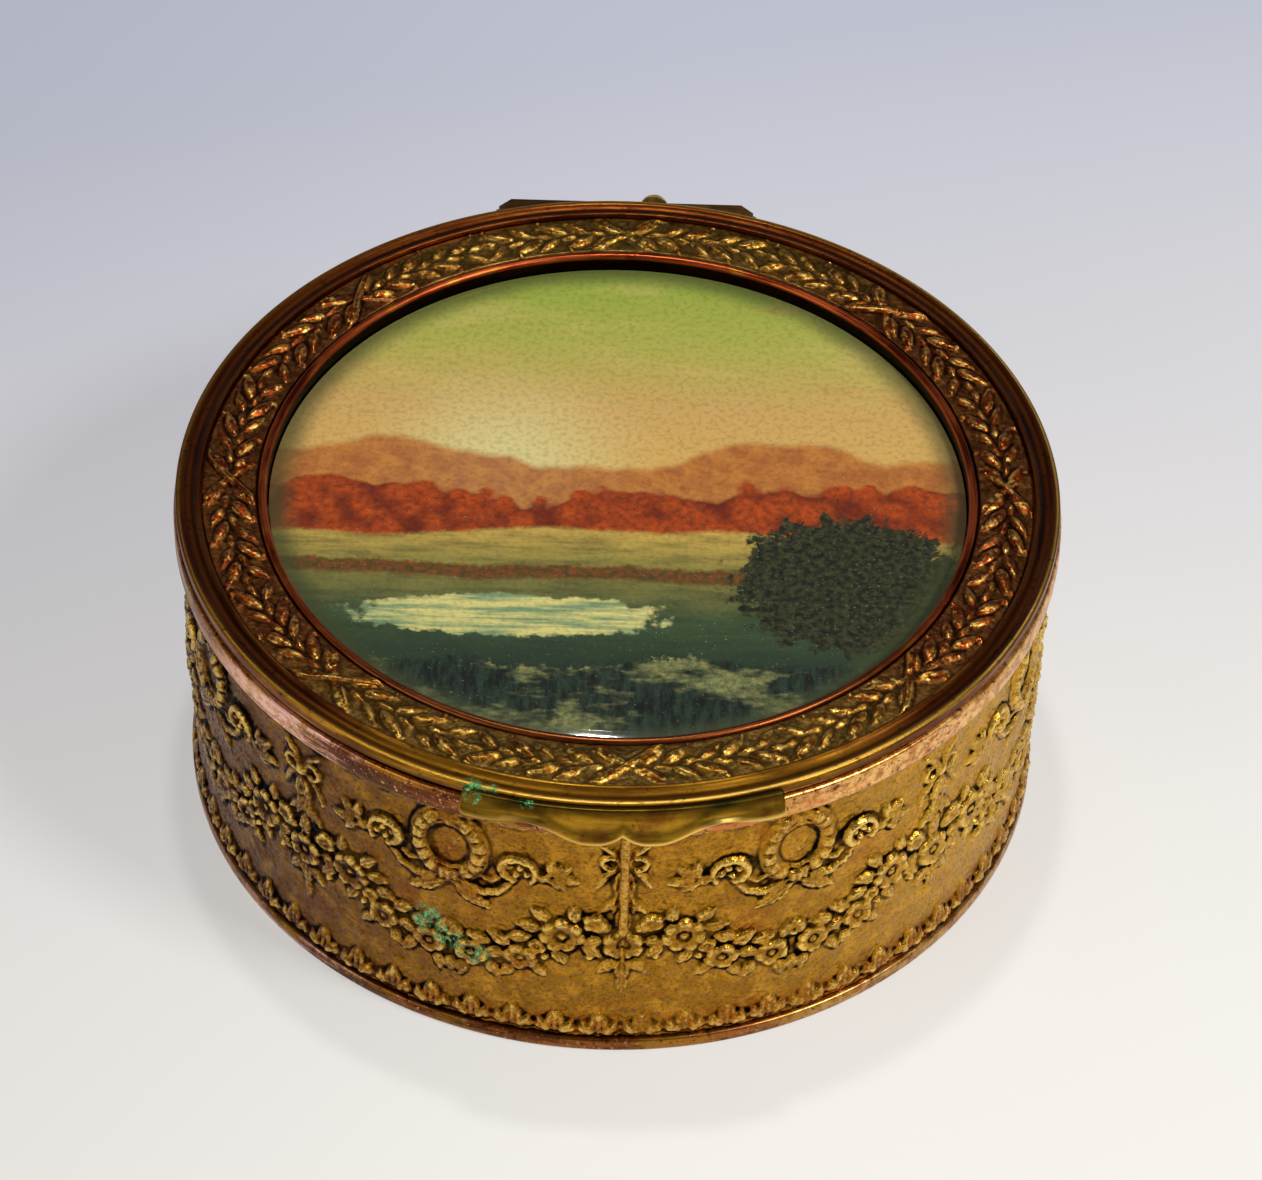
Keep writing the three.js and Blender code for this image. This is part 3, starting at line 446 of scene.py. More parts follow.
def side_scrolls(x, z):
    """The scroll with its shell beside the oval, and the sprig beyond it."""
    lobes = [(7.9 + 1.25 * math.cos(a), 28.5 + 1.1 * math.sin(a)) for a in (0.2, 1.2, 2.2, 3.2, 4.4)]
    return stamped(
        x, z,
        (strand, curl((7.9, 28.9), 2.3, -40, 265, 0.32), np.linspace(0.7, 1.3, CURL_STEPS), 1.15, 0.3),
        (bead, (7.9, 28.4), 0.5, 1.0), *((bead, at, 0.55, 0.85) for at in lobes),
        (flower, (12.0, 28.5), 0.95, 1.0, 5, 20),
        (blade, (11.9, 28.0), 165, 2.4, 1.3), (blade, (12.0, 28.9), 40, 2.9, 1.7),
        (blade, (12.1, 28.5), -8, 3.4, 1.5), (blade, (12.0, 28.2), -48, 2.4, 1.3),
        (blade, (11.9, 29.0), 92, 2.3, 1.3),
    )


def pendant(x, z):
    """Half of the ribbon-tied husk drop between two cartouches."""
    return stamped(
        x - HALF_SECTOR, z,
        (bead, (0, 31.3), 0.85, 1.05),
        (strand, curl((-1.6, 31.6), 1.05, -30, 330, 0.1), 0.6, 0.7),
        (strand, ((-0.3, 32.0), (-1.3, 33.4), (-2.6, 34.4)), (0.7, 0.8, 0.6), 0.6, 0.5),
        (strand, ((-0.6, 30.9), (-2.0, 29.6), (-3.1, 27.4)), (0.7, 0.9, 0.6), 0.6, 0.5),
        (blade, (0.1, 30.5), 257, 4.6, 1.5, 1.0), (blade, (0.1, 27.2), 252, 4.2, 1.5),
        (blade, (0.1, 24.2), 262, 4.4, 1.3, 0.9), (blade, (-0.5, 25.6), 228, 3.4, 1.2, 0.75),
    )


def festoon(x, z):
    """Half of the swag of flowers and leaves, from the pendant's foot to under the oval."""
    middle = HALF_SECTOR
    berries = ((16.3, 15.9), (11.3, 15.3), (6.1, 16.9), (0, 15.9))
    leaves = (
        ((18.6, 20.3), 148, 3.9, 2.0), ((17.6, 18.6), 190, 2.6, 1.6), ((15.6, 17.9), -48, 2.9, 1.6),
        ((14.6, 21.6), 96, 2.6, 1.5), ((11.6, 21.4), 140, 2.9, 1.6), ((10.8, 20.0), 175, 3.2, 1.7),
        ((12.3, 16.9), -62, 3.0, 1.6), ((9.6, 18.4), 195, 3.0, 1.7), ((7.3, 16.5), 150, 3.2, 1.7),
        ((9.9, 13.6), -42, 2.6, 1.4), ((7.6, 12.8), 235, 2.6, 1.4), ((6.6, 14.9), 200, 3.0, 1.7),
        ((5.0, 16.0), 168, 3.0, 1.7), ((4.6, 12.6), -60, 2.9, 1.5), ((1.4, 15.6), 118, 2.8, 1.5),
        ((1.6, 11.8), -98, 2.9, 1.5), ((0.2, 11.6), -90, 2.2, 1.2), ((middle, 15.6), -90, 4.0, 1.8, 0.9),
        ((middle - 0.7, 15.4), -132, 3.2, 1.5, 0.8), ((middle, 12.4), -90, 3.0, 1.3, 0.65),
        ((0.3, 9.6), -76, 2.2, 1.1, 0.35), ((0.2, 10.0), 20, 2.0, 1.0, 0.3),
    )
    return stamped(
        x, z,
        (flower, (middle, 17.9), 2.5, 1.15, 6, 30), (flower, (13.1, 19.2), 2.7, RELIEF, 7, 12),
        (flower, (8.6, 14.6), 2.1, 1.1, 5, 30), (flower, (2.6, 13.6), 2.15, 1.1, 5, 10),
        (flower, (16.8, 21.5), 1.45, 1.0, 5), (flower, (10.4, 16.9), 1.15, 0.95, 4, 20),
        *((bead, at, 0.5, 0.85) for at in berries), *((blade, *leaf) for leaf in leaves),
    )


def tongue_border(along, z):
    """Worn leaf tongues with rounded side lobes, close beside each other."""
    across = np.abs(((along / TONGUE_PITCH) % 1 - 0.5) * TONGUE_PITCH)
    foot = wall_low[2] + 0.6
    return joined(
        blade(across, z, (0, foot), 90, 3.6, 2.3, 0.9),
        plump(across, z, (0.5, foot), 52, 2.4, 1.5, 0.85),
        bead(across, z, (1.75, foot + 0.8), 0.75, 0.75),
        0.3 * ridge(z - wall_low[2] - 0.25, 0.16),
    )


def top_notches(x, z):
    """The line of small lumps and pits right under the body rim."""
    place = np.abs((x / TONGUE_PITCH + 0.5) % 1 - 0.5) * TONGUE_PITCH
    return 0.4 * ridge(z - (wall_high[2] - 0.55), 0.4) * smooth(0.5, 1.0, place)


def embossed_wall():
    """The stamped strip as one height field round the drum, with its joint in front."""
    columns = 2 * REPEATS * round(HALF_SECTOR / RELIEF_PITCH)
    rows = round((wall_high[2] - wall_low[2]) / RELIEF_PITCH) + 1
    turn, level = np.meshgrid(
        (np.arange(columns) + 0.5) / columns * 2 * math.pi, np.linspace(wall_low[2], wall_high[2], rows)
    )
    # The stamps are a little uneven, and mirrored about each oval.
    along = turn * WALL_RADIUS + 0.16 * ripple(turn, level, 21)
    x = np.abs(along % (2 * HALF_SECTOR) - HALF_SECTOR)
    z = level + 0.14 * ripple(turn, level, 22) * smooth(6, 10, level)
    forms = [form(x, z) for form in (cartouche, side_scrolls, pendant, festoon)]
    heights = joined(*forms, top_notches(x, level), tongue_border(along, level))
    choice = np.random.default_rng(41)
    heights = softened(worn(choice, heights, 5, -1.5, 1), STAMP_SOFTNESS)
    # Painted shade below forms: the blurred height just above each point, less its own height, is added to
    # the cavity so that the ground under a raised form goes dark.
    shade_below_forms = np.concatenate([heights[4:], 0 * heights[:4]])
    shade_below_forms = np.clip(softened(shade_below_forms, 0.8) - heights, 0, None)
    cavity = softened(heights, 2.2) - heights + 0.17 * shade_below_forms
    hollow = softened(heights, 6)

    # The joint is an open slit below the seam strip and is pressed flat beside it.
    from_seam = np.abs((turn + math.pi) % (2 * math.pi) - math.pi) * WALL_RADIUS
    above = smooth(strip_low[2] - 1, strip_low[2] + 0.5, level)
    clear = smooth(0.25, 0.9, from_seam) * (1 - above) + smooth(0.6, 1.3, from_seam) * above
    slit = 0.25 * ridge(from_seam, 0.14) - 0.12 * ridge(from_seam - 0.45, 0.22)
    heights = heights * clear - slit * (1 - above) + 0.05 * ripple(turn, level, 8)
    heights = heights + WALL_GRIT * mottled(choice, heights, 0.8, -2, 2)

    bearing = turn + math.radians(WALL_TURN)
    front = round_axis(WALL_RADIUS + np.clip(heights, -0.3, RELIEF), bearing, level)
    ends = [-1, 0]
    back = round_axis(WALL_RADIUS - WALL_THICKNESS * 0.5, bearing[ends], level[ends])
    wall = grid("embossed_wall", np.concatenate([front, back]), True, 4)
    attributes(wall, relief=heights, cavity=cavity, hollow=hollow)
    finished(wall, "box_body", gilt_wall())


def seam_strip():
    """The narrow raised bar over the joint: a bent strap with worn, uneven sides."""
    rows, columns = 120, 13
    level = np.linspace(strip_low[2], strip_high[2], rows)[:, None]
    angle = np.linspace(-math.pi / 2, math.pi / 2, columns)[None, :]
    waver = 0.05 * np.sin(level * 1.1) + 0.03 * np.sin(level * 2.7 + 1)
    half = SEAM_HALF * (0.86 + 0.08 * np.sin(level * 0.9 + 2))
    behind = -(WALL_RADIUS + ON_TOP)
    depth = np.cos(angle) ** 0.5 * (1 - 0.04 * np.sin(level * 1.9))
    x = half * np.sin(angle) * (1 + 0 * level) + waver * 0.5
    points = np.stack([x, behind - SEAM_THICKNESS * depth, level + 0 * angle], -1)
    ends = points[[0, -1]]
    ends[..., 1] = behind
    strip = grid("seam_strip", np.concatenate([ends[:1], points, ends[1:]]))
    strip.data.transform(Matrix.Rotation(math.radians(WALL_TURN), 4, "Z"))
    even = np.ones(len(strip.data.vertices))
    attributes(strip, relief=even, cavity=-0.1 * even, hollow=0.1 * even)
    finished(strip, "box_body", gilt_wall())


# Body


def foot_ring():
    outer, top = foot_high[0], foot_high[2]
    inner, seat = outer - FOOT_LIP_WIDTH, drum_high[0] + BESIDE
    corners = [(inner, 0), (outer, 0), (outer, top), (seat, top), (seat, FOOT_LIP), (inner, FOOT_LIP)]
    rounding = [0.15, FOOT_ROUNDING, 0.5, 0.05, 0.05, 0.1]
    # The foot's copy of the copper is darker than the rim's: painted shade.
    ring("foot_ring", corners, rounding, "box_body", "coppery_trim", coppery(0.62, name="foot_copper"))


def body_rim():
    corners = block(drum_high[0] + BESIDE, rim_high[0], rim_low[2], rim_high[2])
    rounding = [0.05, RIM_ROUNDING, RIM_ROUNDING, 0.05]
    ring("body_rim", corners, rounding, "box_body", "coppery_trim", coppery(1.0, name="rim_copper"), 6)


def inner_drum():
    """The drum that carries everything, with a thinner lip up inside the body rim."""
    outer, low, top = drum_high[0], drum_low[2], drum_high[2]
    inner = outer - DRUM_THICKNESS
    shoulder, collar = rim_high[2], inner + COLLAR_THICKNESS
    corners = [(inner, low), (outer, low), (outer, shoulder), (collar, shoulder), (collar, top), (inner, top)]
    rounding = [0.05, 0.05, 0.05, 0.05, 0.1, 0.1]
    ring("inner_drum", corners, rounding, "box_body", "dark_brass", dull_brass(name="drum_brass"))


def lining_wall():
    outer = lining_high[0]
    corners = block(outer - LINING_THICKNESS, outer, lining_low[2], lining_high[2])
    ring("lining_wall", corners, LINING_ROUNDING, "box_body", "velvet", velvet(), 6)


def pad(node, radius, flat, crown, body, slot, material):
    """A round pad: a flat back, a rolled edge and a crowned face with soft hollows."""
    rings, steps = 90, 240
    angle = np.linspace(0, 2 * math.pi, steps, endpoint=False)[None, :]
    reach = radius * np.sin(np.linspace(0, 1, rings)[:, None] * math.pi / 2) ** 0.9
    rolled = PAD_ROUNDING * 2.5
    edge = np.clip((reach - (radius - rolled)) / rolled, 0, 1)
    face = crown - (crown - flat) * 0.85 * (1 - np.sqrt(np.clip(1 - edge**2.4, 0, 1)))
    x, y = reach * np.cos(angle), reach * np.sin(angle)
    soft = 0.07 * np.sin(x * 0.21 + 1) * np.cos(y * 0.17) + 0.05 * np.sin(0.33 * y + 0.12 * x)
    pucker = 0.09 * np.cos(44 * angle + np.sin(5 * angle)) * ridge(reach - radius + 2.2, 1.4)
    z = face + np.sign(crown - flat) * ((soft - 0.12) * (1 - edge) + pucker - 0.09)

    def circle(size, level):
        return np.stack([size * np.cos(angle), size * np.sin(angle), level + 0 * angle], -1)

    side = circle(radius, 0.35 * (crown - flat) + flat)
    top = np.stack([x, y, z + 0 * angle], -1)
    points = np.concatenate([top, side, circle(0.99 * radius, flat), circle(0, flat)])
    made = grid(node, points if crown < flat else points[::-1])
    finished(made, body, material)


# Lid


def lid_rim():
    """The rolled edge, the hollow moulding and the crest, and the ledge inside them."""
    outer, low = lid_high[0], lid_low[2]
    edge_top = low + EDGE_HEIGHT
    cove_outer = outer - 2 * EDGE_ROUNDING
    crest_outer = cove_outer - COVE_WIDTH
    crest_inner = crest_outer - CREST_WIDTH
    ledge_top = wreath_low[2] - ON_TOP
    ledge_inner = crest_inner - LEDGE_WIDTH
    corners = [(ledge_inner, low), (outer, low), (outer, edge_top), (cove_outer, edge_top)]
    edge = rounded(corners, [0.1, EDGE_ROLL, EDGE_ROLL, 0], 6)
    deepest = ((cove_outer + crest_outer) / 2, edge_top - 2 * COVE_DEPTH)
    places = (np.array(each) for each in ((cove_outer, edge_top), deepest, (crest_outer, edge_top)))
    cove = bend(*places, np.linspace(0, 1, 18)[:, None])
    angle = np.linspace(0, math.pi, 9)[:, None]
    half = CREST_WIDTH / 2
    crest_rise = lid_high[2] - edge_top
    crest = np.hstack([crest_inner + half + half * np.cos(angle), edge_top + crest_rise * np.sin(angle)])
    rest = np.array([(crest_inner, ledge_top), (ledge_inner, ledge_top)])
    profile = np.concatenate([edge[:-1], cove, crest[1:], rest])
    rim = turned("lid_rim", profile, crease=50)
    reach = profile[:, :1]
    # The first mask marks the top of the rolled edge and the crest's outer side, for worn gold with painted
    # highlights.
    bright = ridge(reach - outer + 0.35, 0.35) + 0.55 * ridge(reach - crest_outer + 0.2, 0.22)
    # Painted shade along the cove's two sides.
    crease_shade = ridge(reach - crest_outer - 0.3, 0.36) + 0.6 * ridge(reach - cove_outer + 0.2, 0.2)
    all_round = np.zeros(ROUND_STEPS)
    attributes(rim, relief=bright + all_round, crease_shade=crease_shade + all_round)
    finished(rim, "lid", lid_gilt())


def ribbon(slant, half, height):
    return height * dome(slant / half, 4) * (1 - 0.4 * ridge(slant, 0.2))


def wreath_heights(along, across):
    """Leaves that point away from each tie and meet halfway, and the crossed ribbons."""
    sector = math.pi * wreath_middle / 4
    signed = (along + sector / 2) % sector - sector / 2
    away = np.abs(signed)
    forms = []
    pitch = (sector / 2 - 1.1) / WREATH_LEAVES
    for i in range(WREATH_LEAVES):
        side = 1 if i % 2 == 0 else -1
        start = 1.1 + (i - 0.2) * pitch
        forms += [
            plump(away, across, (start, side * 0.4), side * 28, 4.3, 1.55, 0.95),
            plump(away, across, (start + 1.1, -side * 0.5), -side * 34, 3.5, 1.25, 0.85),
            plump(away, across, (start + 2.2, side * 0.2), side * 8, 2.4, 0.9, 0.7),
            bead(away, across, (start + 3.3, side * 2.75), 0.34, 0.8),
        ]
    slant, other = signed + across * 1.3, signed - across * 1.15
    clear = smooth(0.6, 1.1, np.abs(slant)) * smooth(0.5, 0.9, np.abs(other))
    under = ribbon(other, 0.7, 0.6) * smooth(0.75, 1.0, np.abs(slant))
    return WREATH_RELIEF * joined(joined(*forms) * clear, ribbon(slant, 0.75, 1), under)


def wreath_band():
    """The stamped laurel wreath as a height field on a flat ring."""
    angle = np.arange(WREATH_COLUMNS) / WREATH_COLUMNS * 2 * math.pi
    turn, reach = np.meshgrid(angle, np.linspace(wreath_inner, wreath_outer, WREATH_ROWS))
    across = reach - wreath_middle
    uneven = 0.2 * ripple(turn, across * 3, 31)
    # The front tie sits a little to the right, and the shift dies away towards the hinge.
    shift = 0.5 * FRONT_TIE_SHIFT * (1 + np.cos(turn))
    heights = wreath_heights(turn * wreath_middle + uneven - shift, across + 0.5 * uneven)
    rise = smooth(0, 0.35, np.minimum(reach - wreath_inner, wreath_outer - reach))
    choice = np.random.default_rng(43)
    heights = worn(choice, softened(heights, STAMP_SOFTNESS) * rise, 4, -2, 1)
    heights = heights + WREATH_GRIT * mottled(choice, heights, 0.8, -2, 2) * rise
    cavity = softened(heights, 2) - heights
    ground = wreath_high[2] - WREATH_RELIEF
    z = ground + np.clip(heights, 0, WREATH_RELIEF) + 0.02 * ripple(turn, across * 5, 9) * rise - 0.02
    points = round_axis(reach, turn, z)
    under = points[[-1, 0]]
    under[..., 2] = wreath_low[2]
    band = grid("wreath_band", np.concatenate([points, under])[::-1], True, 6)
    under = np.zeros((2, WREATH_COLUMNS))
    relief, cavity = (np.concatenate([under, each[::-1]]) for each in (heights / WREATH_RELIEF, cavity))
    attributes(band, relief=relief, cavity=cavity)
    finished(band, "lid", wreath_gilt())


def bezel_ring():
    outer = bezel_outer
    half = BEZEL_WIDTH / 2
    middle, waist, flange = outer - BEZEL_WIDTH + half, outer - half, outer + BEZEL_FLANGE
    flange_top = wreath_low[2] - ON_TOP
    flange_low = flange_top - BEZEL_FLANGE_THICKNESS
    prong_top = bezel_low[2] + PRONG_THICKNESS
    arc = np.radians(np.linspace(0, 180, 17))[:, None]
    bead_top = np.hstack([middle + half * np.cos(arc), bezel_high[2] - half + half * np.sin(arc)])
    start = np.array([
        (outer - BEZEL_WIDTH, prong_top), (waist, prong_top), (waist, flange_low),
        (flange, flange_low), (flange, flange_top), (outer, flange_top),
    ])
    bezel = turned("bezel_ring", np.concatenate([start, bead_top]), crease=45)
    finished(bezel, "lid", copper_bead())


def bezel_prongs():
    """The prongs folded in under the backing card."""
    root = bezel_outer - BEZEL_WIDTH / 2 - BESIDE
    tip = glass_high[0] - PRONG_REACH
    half, low = PRONG_WIDTH / 2, bezel_low[2]
    outline = rounded(block(-half, half, -root, -tip), [0, 0, PRONG_TIP, PRONG_TIP], 5)
    n = len(outline)
    faces = [list(range(n))[::-1], list(range(n, 2 * n))]
    faces += [[j, (j + 1) % n, n + (j + 1) % n, n + j] for j in range(n)]
    for i in range(PRONGS):
        turn = Matrix.Rotation(2 * math.pi * (i + 0.5) / PRONGS, 3, "Z")
        ring = [turn @ Vector((px, py, 0)) for px, py in outline]
        points = [(p.x, p.y, level) for level in (low, low + PRONG_THICKNESS) for p in ring]
        prong = mesh_object(f"bezel_prong_{i + 1}", points, faces, crease=40)
        prong.data.materials.append(copper_bead())
        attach(prong, "lid")


def disc(node, profile, material):
    """A piece of the lid turned from its axis to its axis."""
    sheet = turned(node, np.concatenate(profile), folds=1, closed=False, crease=30)
    finished(sheet, "lid", material)


def glass():
    radius, low, top = glass_high[0], glass_low[2], glass_high[2]
    share = np.linspace(0, 1, 24)[:, None]
    flat = radius - GLASS_BEVEL_WIDTH
    crown = np.hstack([flat * (1 - share), top - 0.1 * (1 - share) ** 2])
    sides = [(0, low), (radius, low), (radius, top - GLASS_BEVEL), (flat + 0.05, top - 0.12)]
    disc("glass", [sides, crown], clear_glass())


def picture():
    radius, low, top = picture_high[0], picture_low[2], picture_high[2]
    share = np.linspace(1, 0, 40)[:, None]
    face = np.hstack([radius * share, top + 0 * share])
    disc("picture", [[(0, low), (radius, low)], face], painted_landscape(radius))


def lid_underplate():
    """The shallow tray that closes the lid from below."""
    radius, low, top = underplate_high[0], underplate_low[2], underplate_high[2]
    wall, floor_top = radius - UNDERPLATE_THICKNESS, low + UNDERPLATE_THICKNESS
    tray = [(0.01, low), (radius, low), (radius, top), (wall, top), (wall, floor_top), (0.01, floor_top)]
    rounding = [0, 0.4, 0.1, 0.1, 0.2, 0]
    ring("lid_underplate", tray, rounding, "lid", "dark_brass", dull_brass(name="underplate_brass"))


def lift_drop(degrees):
    """How far the thumb lift hangs down at an angle from its middle."""
    away = np.abs(degrees)
    lobes = 1 - smooth(LIFT_ANGLE * 0.21, LIFT_ANGLE * 0.6, away)
    ends = smooth(LIFT_ANGLE * 0.6, LIFT_ANGLE * 0.9, away)
    cusp = np.clip(1 - away / (LIFT_ANGLE * 0.16), 0, 1) ** 2
    to_end = np.radians(LIFT_ANGLE - away) * lid_high[0]
    in_corner = np.clip(LIFT_CORNER - to_end, 0, LIFT_CORNER)
    corner = LIFT_CORNER - np.sqrt(np.clip(LIFT_CORNER**2 - in_corner**2, 0, None))
    edge = (LIFT_LOBE_DROP - LIFT_SHOULDER_DROP) * lobes + (LIFT_END_DROP - LIFT_SHOULDER_DROP) * ends
    return LIFT_SHOULDER_DROP + edge - LIFT_CUSP_RISE * cusp - corner


def thumb_lift():
    """The flared lift with its cupid's-bow lip, bent round the lid's edge."""
    top, lid_bottom = lift_high[2], lid_low[2]
    seat = lid_high[0] + BESIDE
    inner = rim_high[0] + LIFT_PLAY
    outer = inner + LIFT_THICKNESS
    knee, step = lid_bottom + LIFT_BEND, lid_bottom - LIFT_BEND
    angles = LIFT_ANGLE * (2 * np.arange(LIFT_STEPS + 1) / LIFT_STEPS - 1)
    lips = top - lift_drop(angles)
    sections = []
    for degrees, lip in zip(angles, lips):
        rise = min(LIFT_CURL, (step - lip) * 0.8)
        corners = [
            (seat, top), (seat, knee), (inner, step), (inner, lip + rise),
            (inner + LIFT_FLARE * 0.7, lip + rise * 0.12), (inner + LIFT_FLARE, lip),
            (outer + LIFT_FLARE * 0.9, lip + rise * 0.06), (outer + LIFT_FLARE, lip + rise * 0.3),
            (outer + LIFT_FLARE * 0.2, lip + rise * 1.1), (outer, knee), (seat + LIFT_THICKNESS, top),
        ]
        section = rounded(corners, [0.1, 0.1, 0.15, 0.5, 0.2, 0.15, 0.2, 0.35, 0.6, 0.5, 0.2], 3)
        sections.append(round_axis(section[:, 0], math.radians(degrees + LIFT_TURN), section[:, 1]))
    points = np.array(sections)
    lift = grid("thumb_lift", points, folds=2)
    count, last = points.shape[1], points[..., 0].size - 1
    cap_ends(lift.data, [list(range(count)), [last - j for j in range(count)]])
    level, lips = points[..., 2], lips[:, None]
    # Painted shade at the top, under the lid's edge, and in the bend above the lip.
    crease_shade = ridge(level - top, 0.35) + 0.8 * ridge(level - lips - 1.5, 0.5)
    # The relief mask marks the lip, for a painted highlight.
    attributes(lift, relief=ridge(level - lips - 0.3, 0.45), crease_shade=crease_shade)
    finished(lift, "lid", lift_gilt())


def cap_ends(mesh, loops):
    """Flat faces over a mesh's open ends."""
    edit = bmesh.new()
    edit.from_mesh(mesh)
    edit.verts.ensure_lookup_table()
    layer = edit.loops.layers.uv.active
    for loop in loops:
        face = edit.faces.new([edit.verts[i] for i in loop])
        face.smooth = False
        for corner in face.loops:
            corner[layer].uv = (0.001, 0.001)
    edit.normal_update()
    edit.to_mesh(mesh)
    edit.free()


# Hinge


def hinge_leaf(node, body):
    """The leaf with its knuckles, all edges a little rounded."""
    leaf = added(f"{node}_fine", frame["nodes"][node].data.copy())
    bevel = leaf.modifiers.new("edges", "BEVEL")
    bevel.width = LEAF_ROUNDING * MM
    bevel.segments = 2
    bevel.limit_method = "ANGLE"
    bevel.angle_limit = math.radians(50)
    finished(leaf, body, dull_brass(name="leaf_brass"))


def laid_over(obj, degrees, axis, place):
    """Tips a turned piece over and moves it to a place in metres."""
    obj.data.transform(Matrix.Rotation(math.radians(degrees), 4, axis))
    obj.data.transform(Matrix.Translation(place))


def hinge_pin():
    half = HINGE_LENGTH / 2 + ON_TOP
    head = PIN_RADIUS * PIN_HEAD
    end = [(PIN_RADIUS, half), (head, half), (head * 0.96, half + 0.22)]
    end += [(PIN_RADIUS * 1.2, half + 0.38), (0.001, half + 0.4)]
    other_end = [(reach, -level) for reach, level in end[::-1]]
    pin = turned("hinge_pin", other_end + end, steps=40, folds=1, closed=False, crease=35)
    laid_over(pin, 90, "Y", (0, hinge_place[1], hinge_place[2]))
    finished(pin, "box_body", dull_brass(name="pin_brass"))


def hinge_stud():
    """The domed rivet behind the lid, worn bright."""
    (left, front, bottom), (right, behind, top) = stud_low, stud_high
    radius = (right - left) / 2 * STUD_WIDENING
    shank, angle = radius / 3, np.linspace(0, 1, 16)[:, None] * math.pi / 2
    root = -LEAF_THICKNESS - ON_TOP
    rise = behind - front + root
    dome_part = np.hstack([radius * np.cos(angle), rise * np.sin(angle)])
    profile = np.concatenate([[(0.001, root), (shank, root), (shank, 0), (radius * 0.97, 0)], dome_part])
    stud = turned("hinge_stud", profile, steps=64, folds=1, closed=False, crease=45)
    laid_over(stud, -90, "X", ((right + left) / 2 * MM, (behind - rise) * MM, (top + bottom) / 2 * MM))
    finished(stud, "lid", rivet_brass())


# Materials


def rgb(red, green, blue):
    """A colour on the 0 to 255 scale of a screen, as light."""
    shares = (value / 255 for value in (red, green, blue))
    return *(v / 12.92 if v <= 0.04045 else ((v + 0.055) / 1.055) ** 2.4 for v in shares), 1


class Field:
    """A value, colour or shader over a surface. Values take plain arithmetic."""

    def __init__(self, graph, socket):
        self.graph, self.socket = graph, socket

    def __add__(self, other):
        return self.graph.math("ADD", self, other)

    def __mul__(self, other):
        return self.graph.math("MULTIPLY", self, other)

    def __sub__(self, other):
        return self.graph.math("SUBTRACT", self, other)

    def __rsub__(self, other):
        return self.graph.math("SUBTRACT", other, self)

    def __truediv__(self, other):
        return self.graph.math("DIVIDE", self, other)

    def outputs(self, *names):
        """Outputs of the node that this one comes from."""
        return [Field(self.graph, self.socket.node.outputs[name]) for name in names]


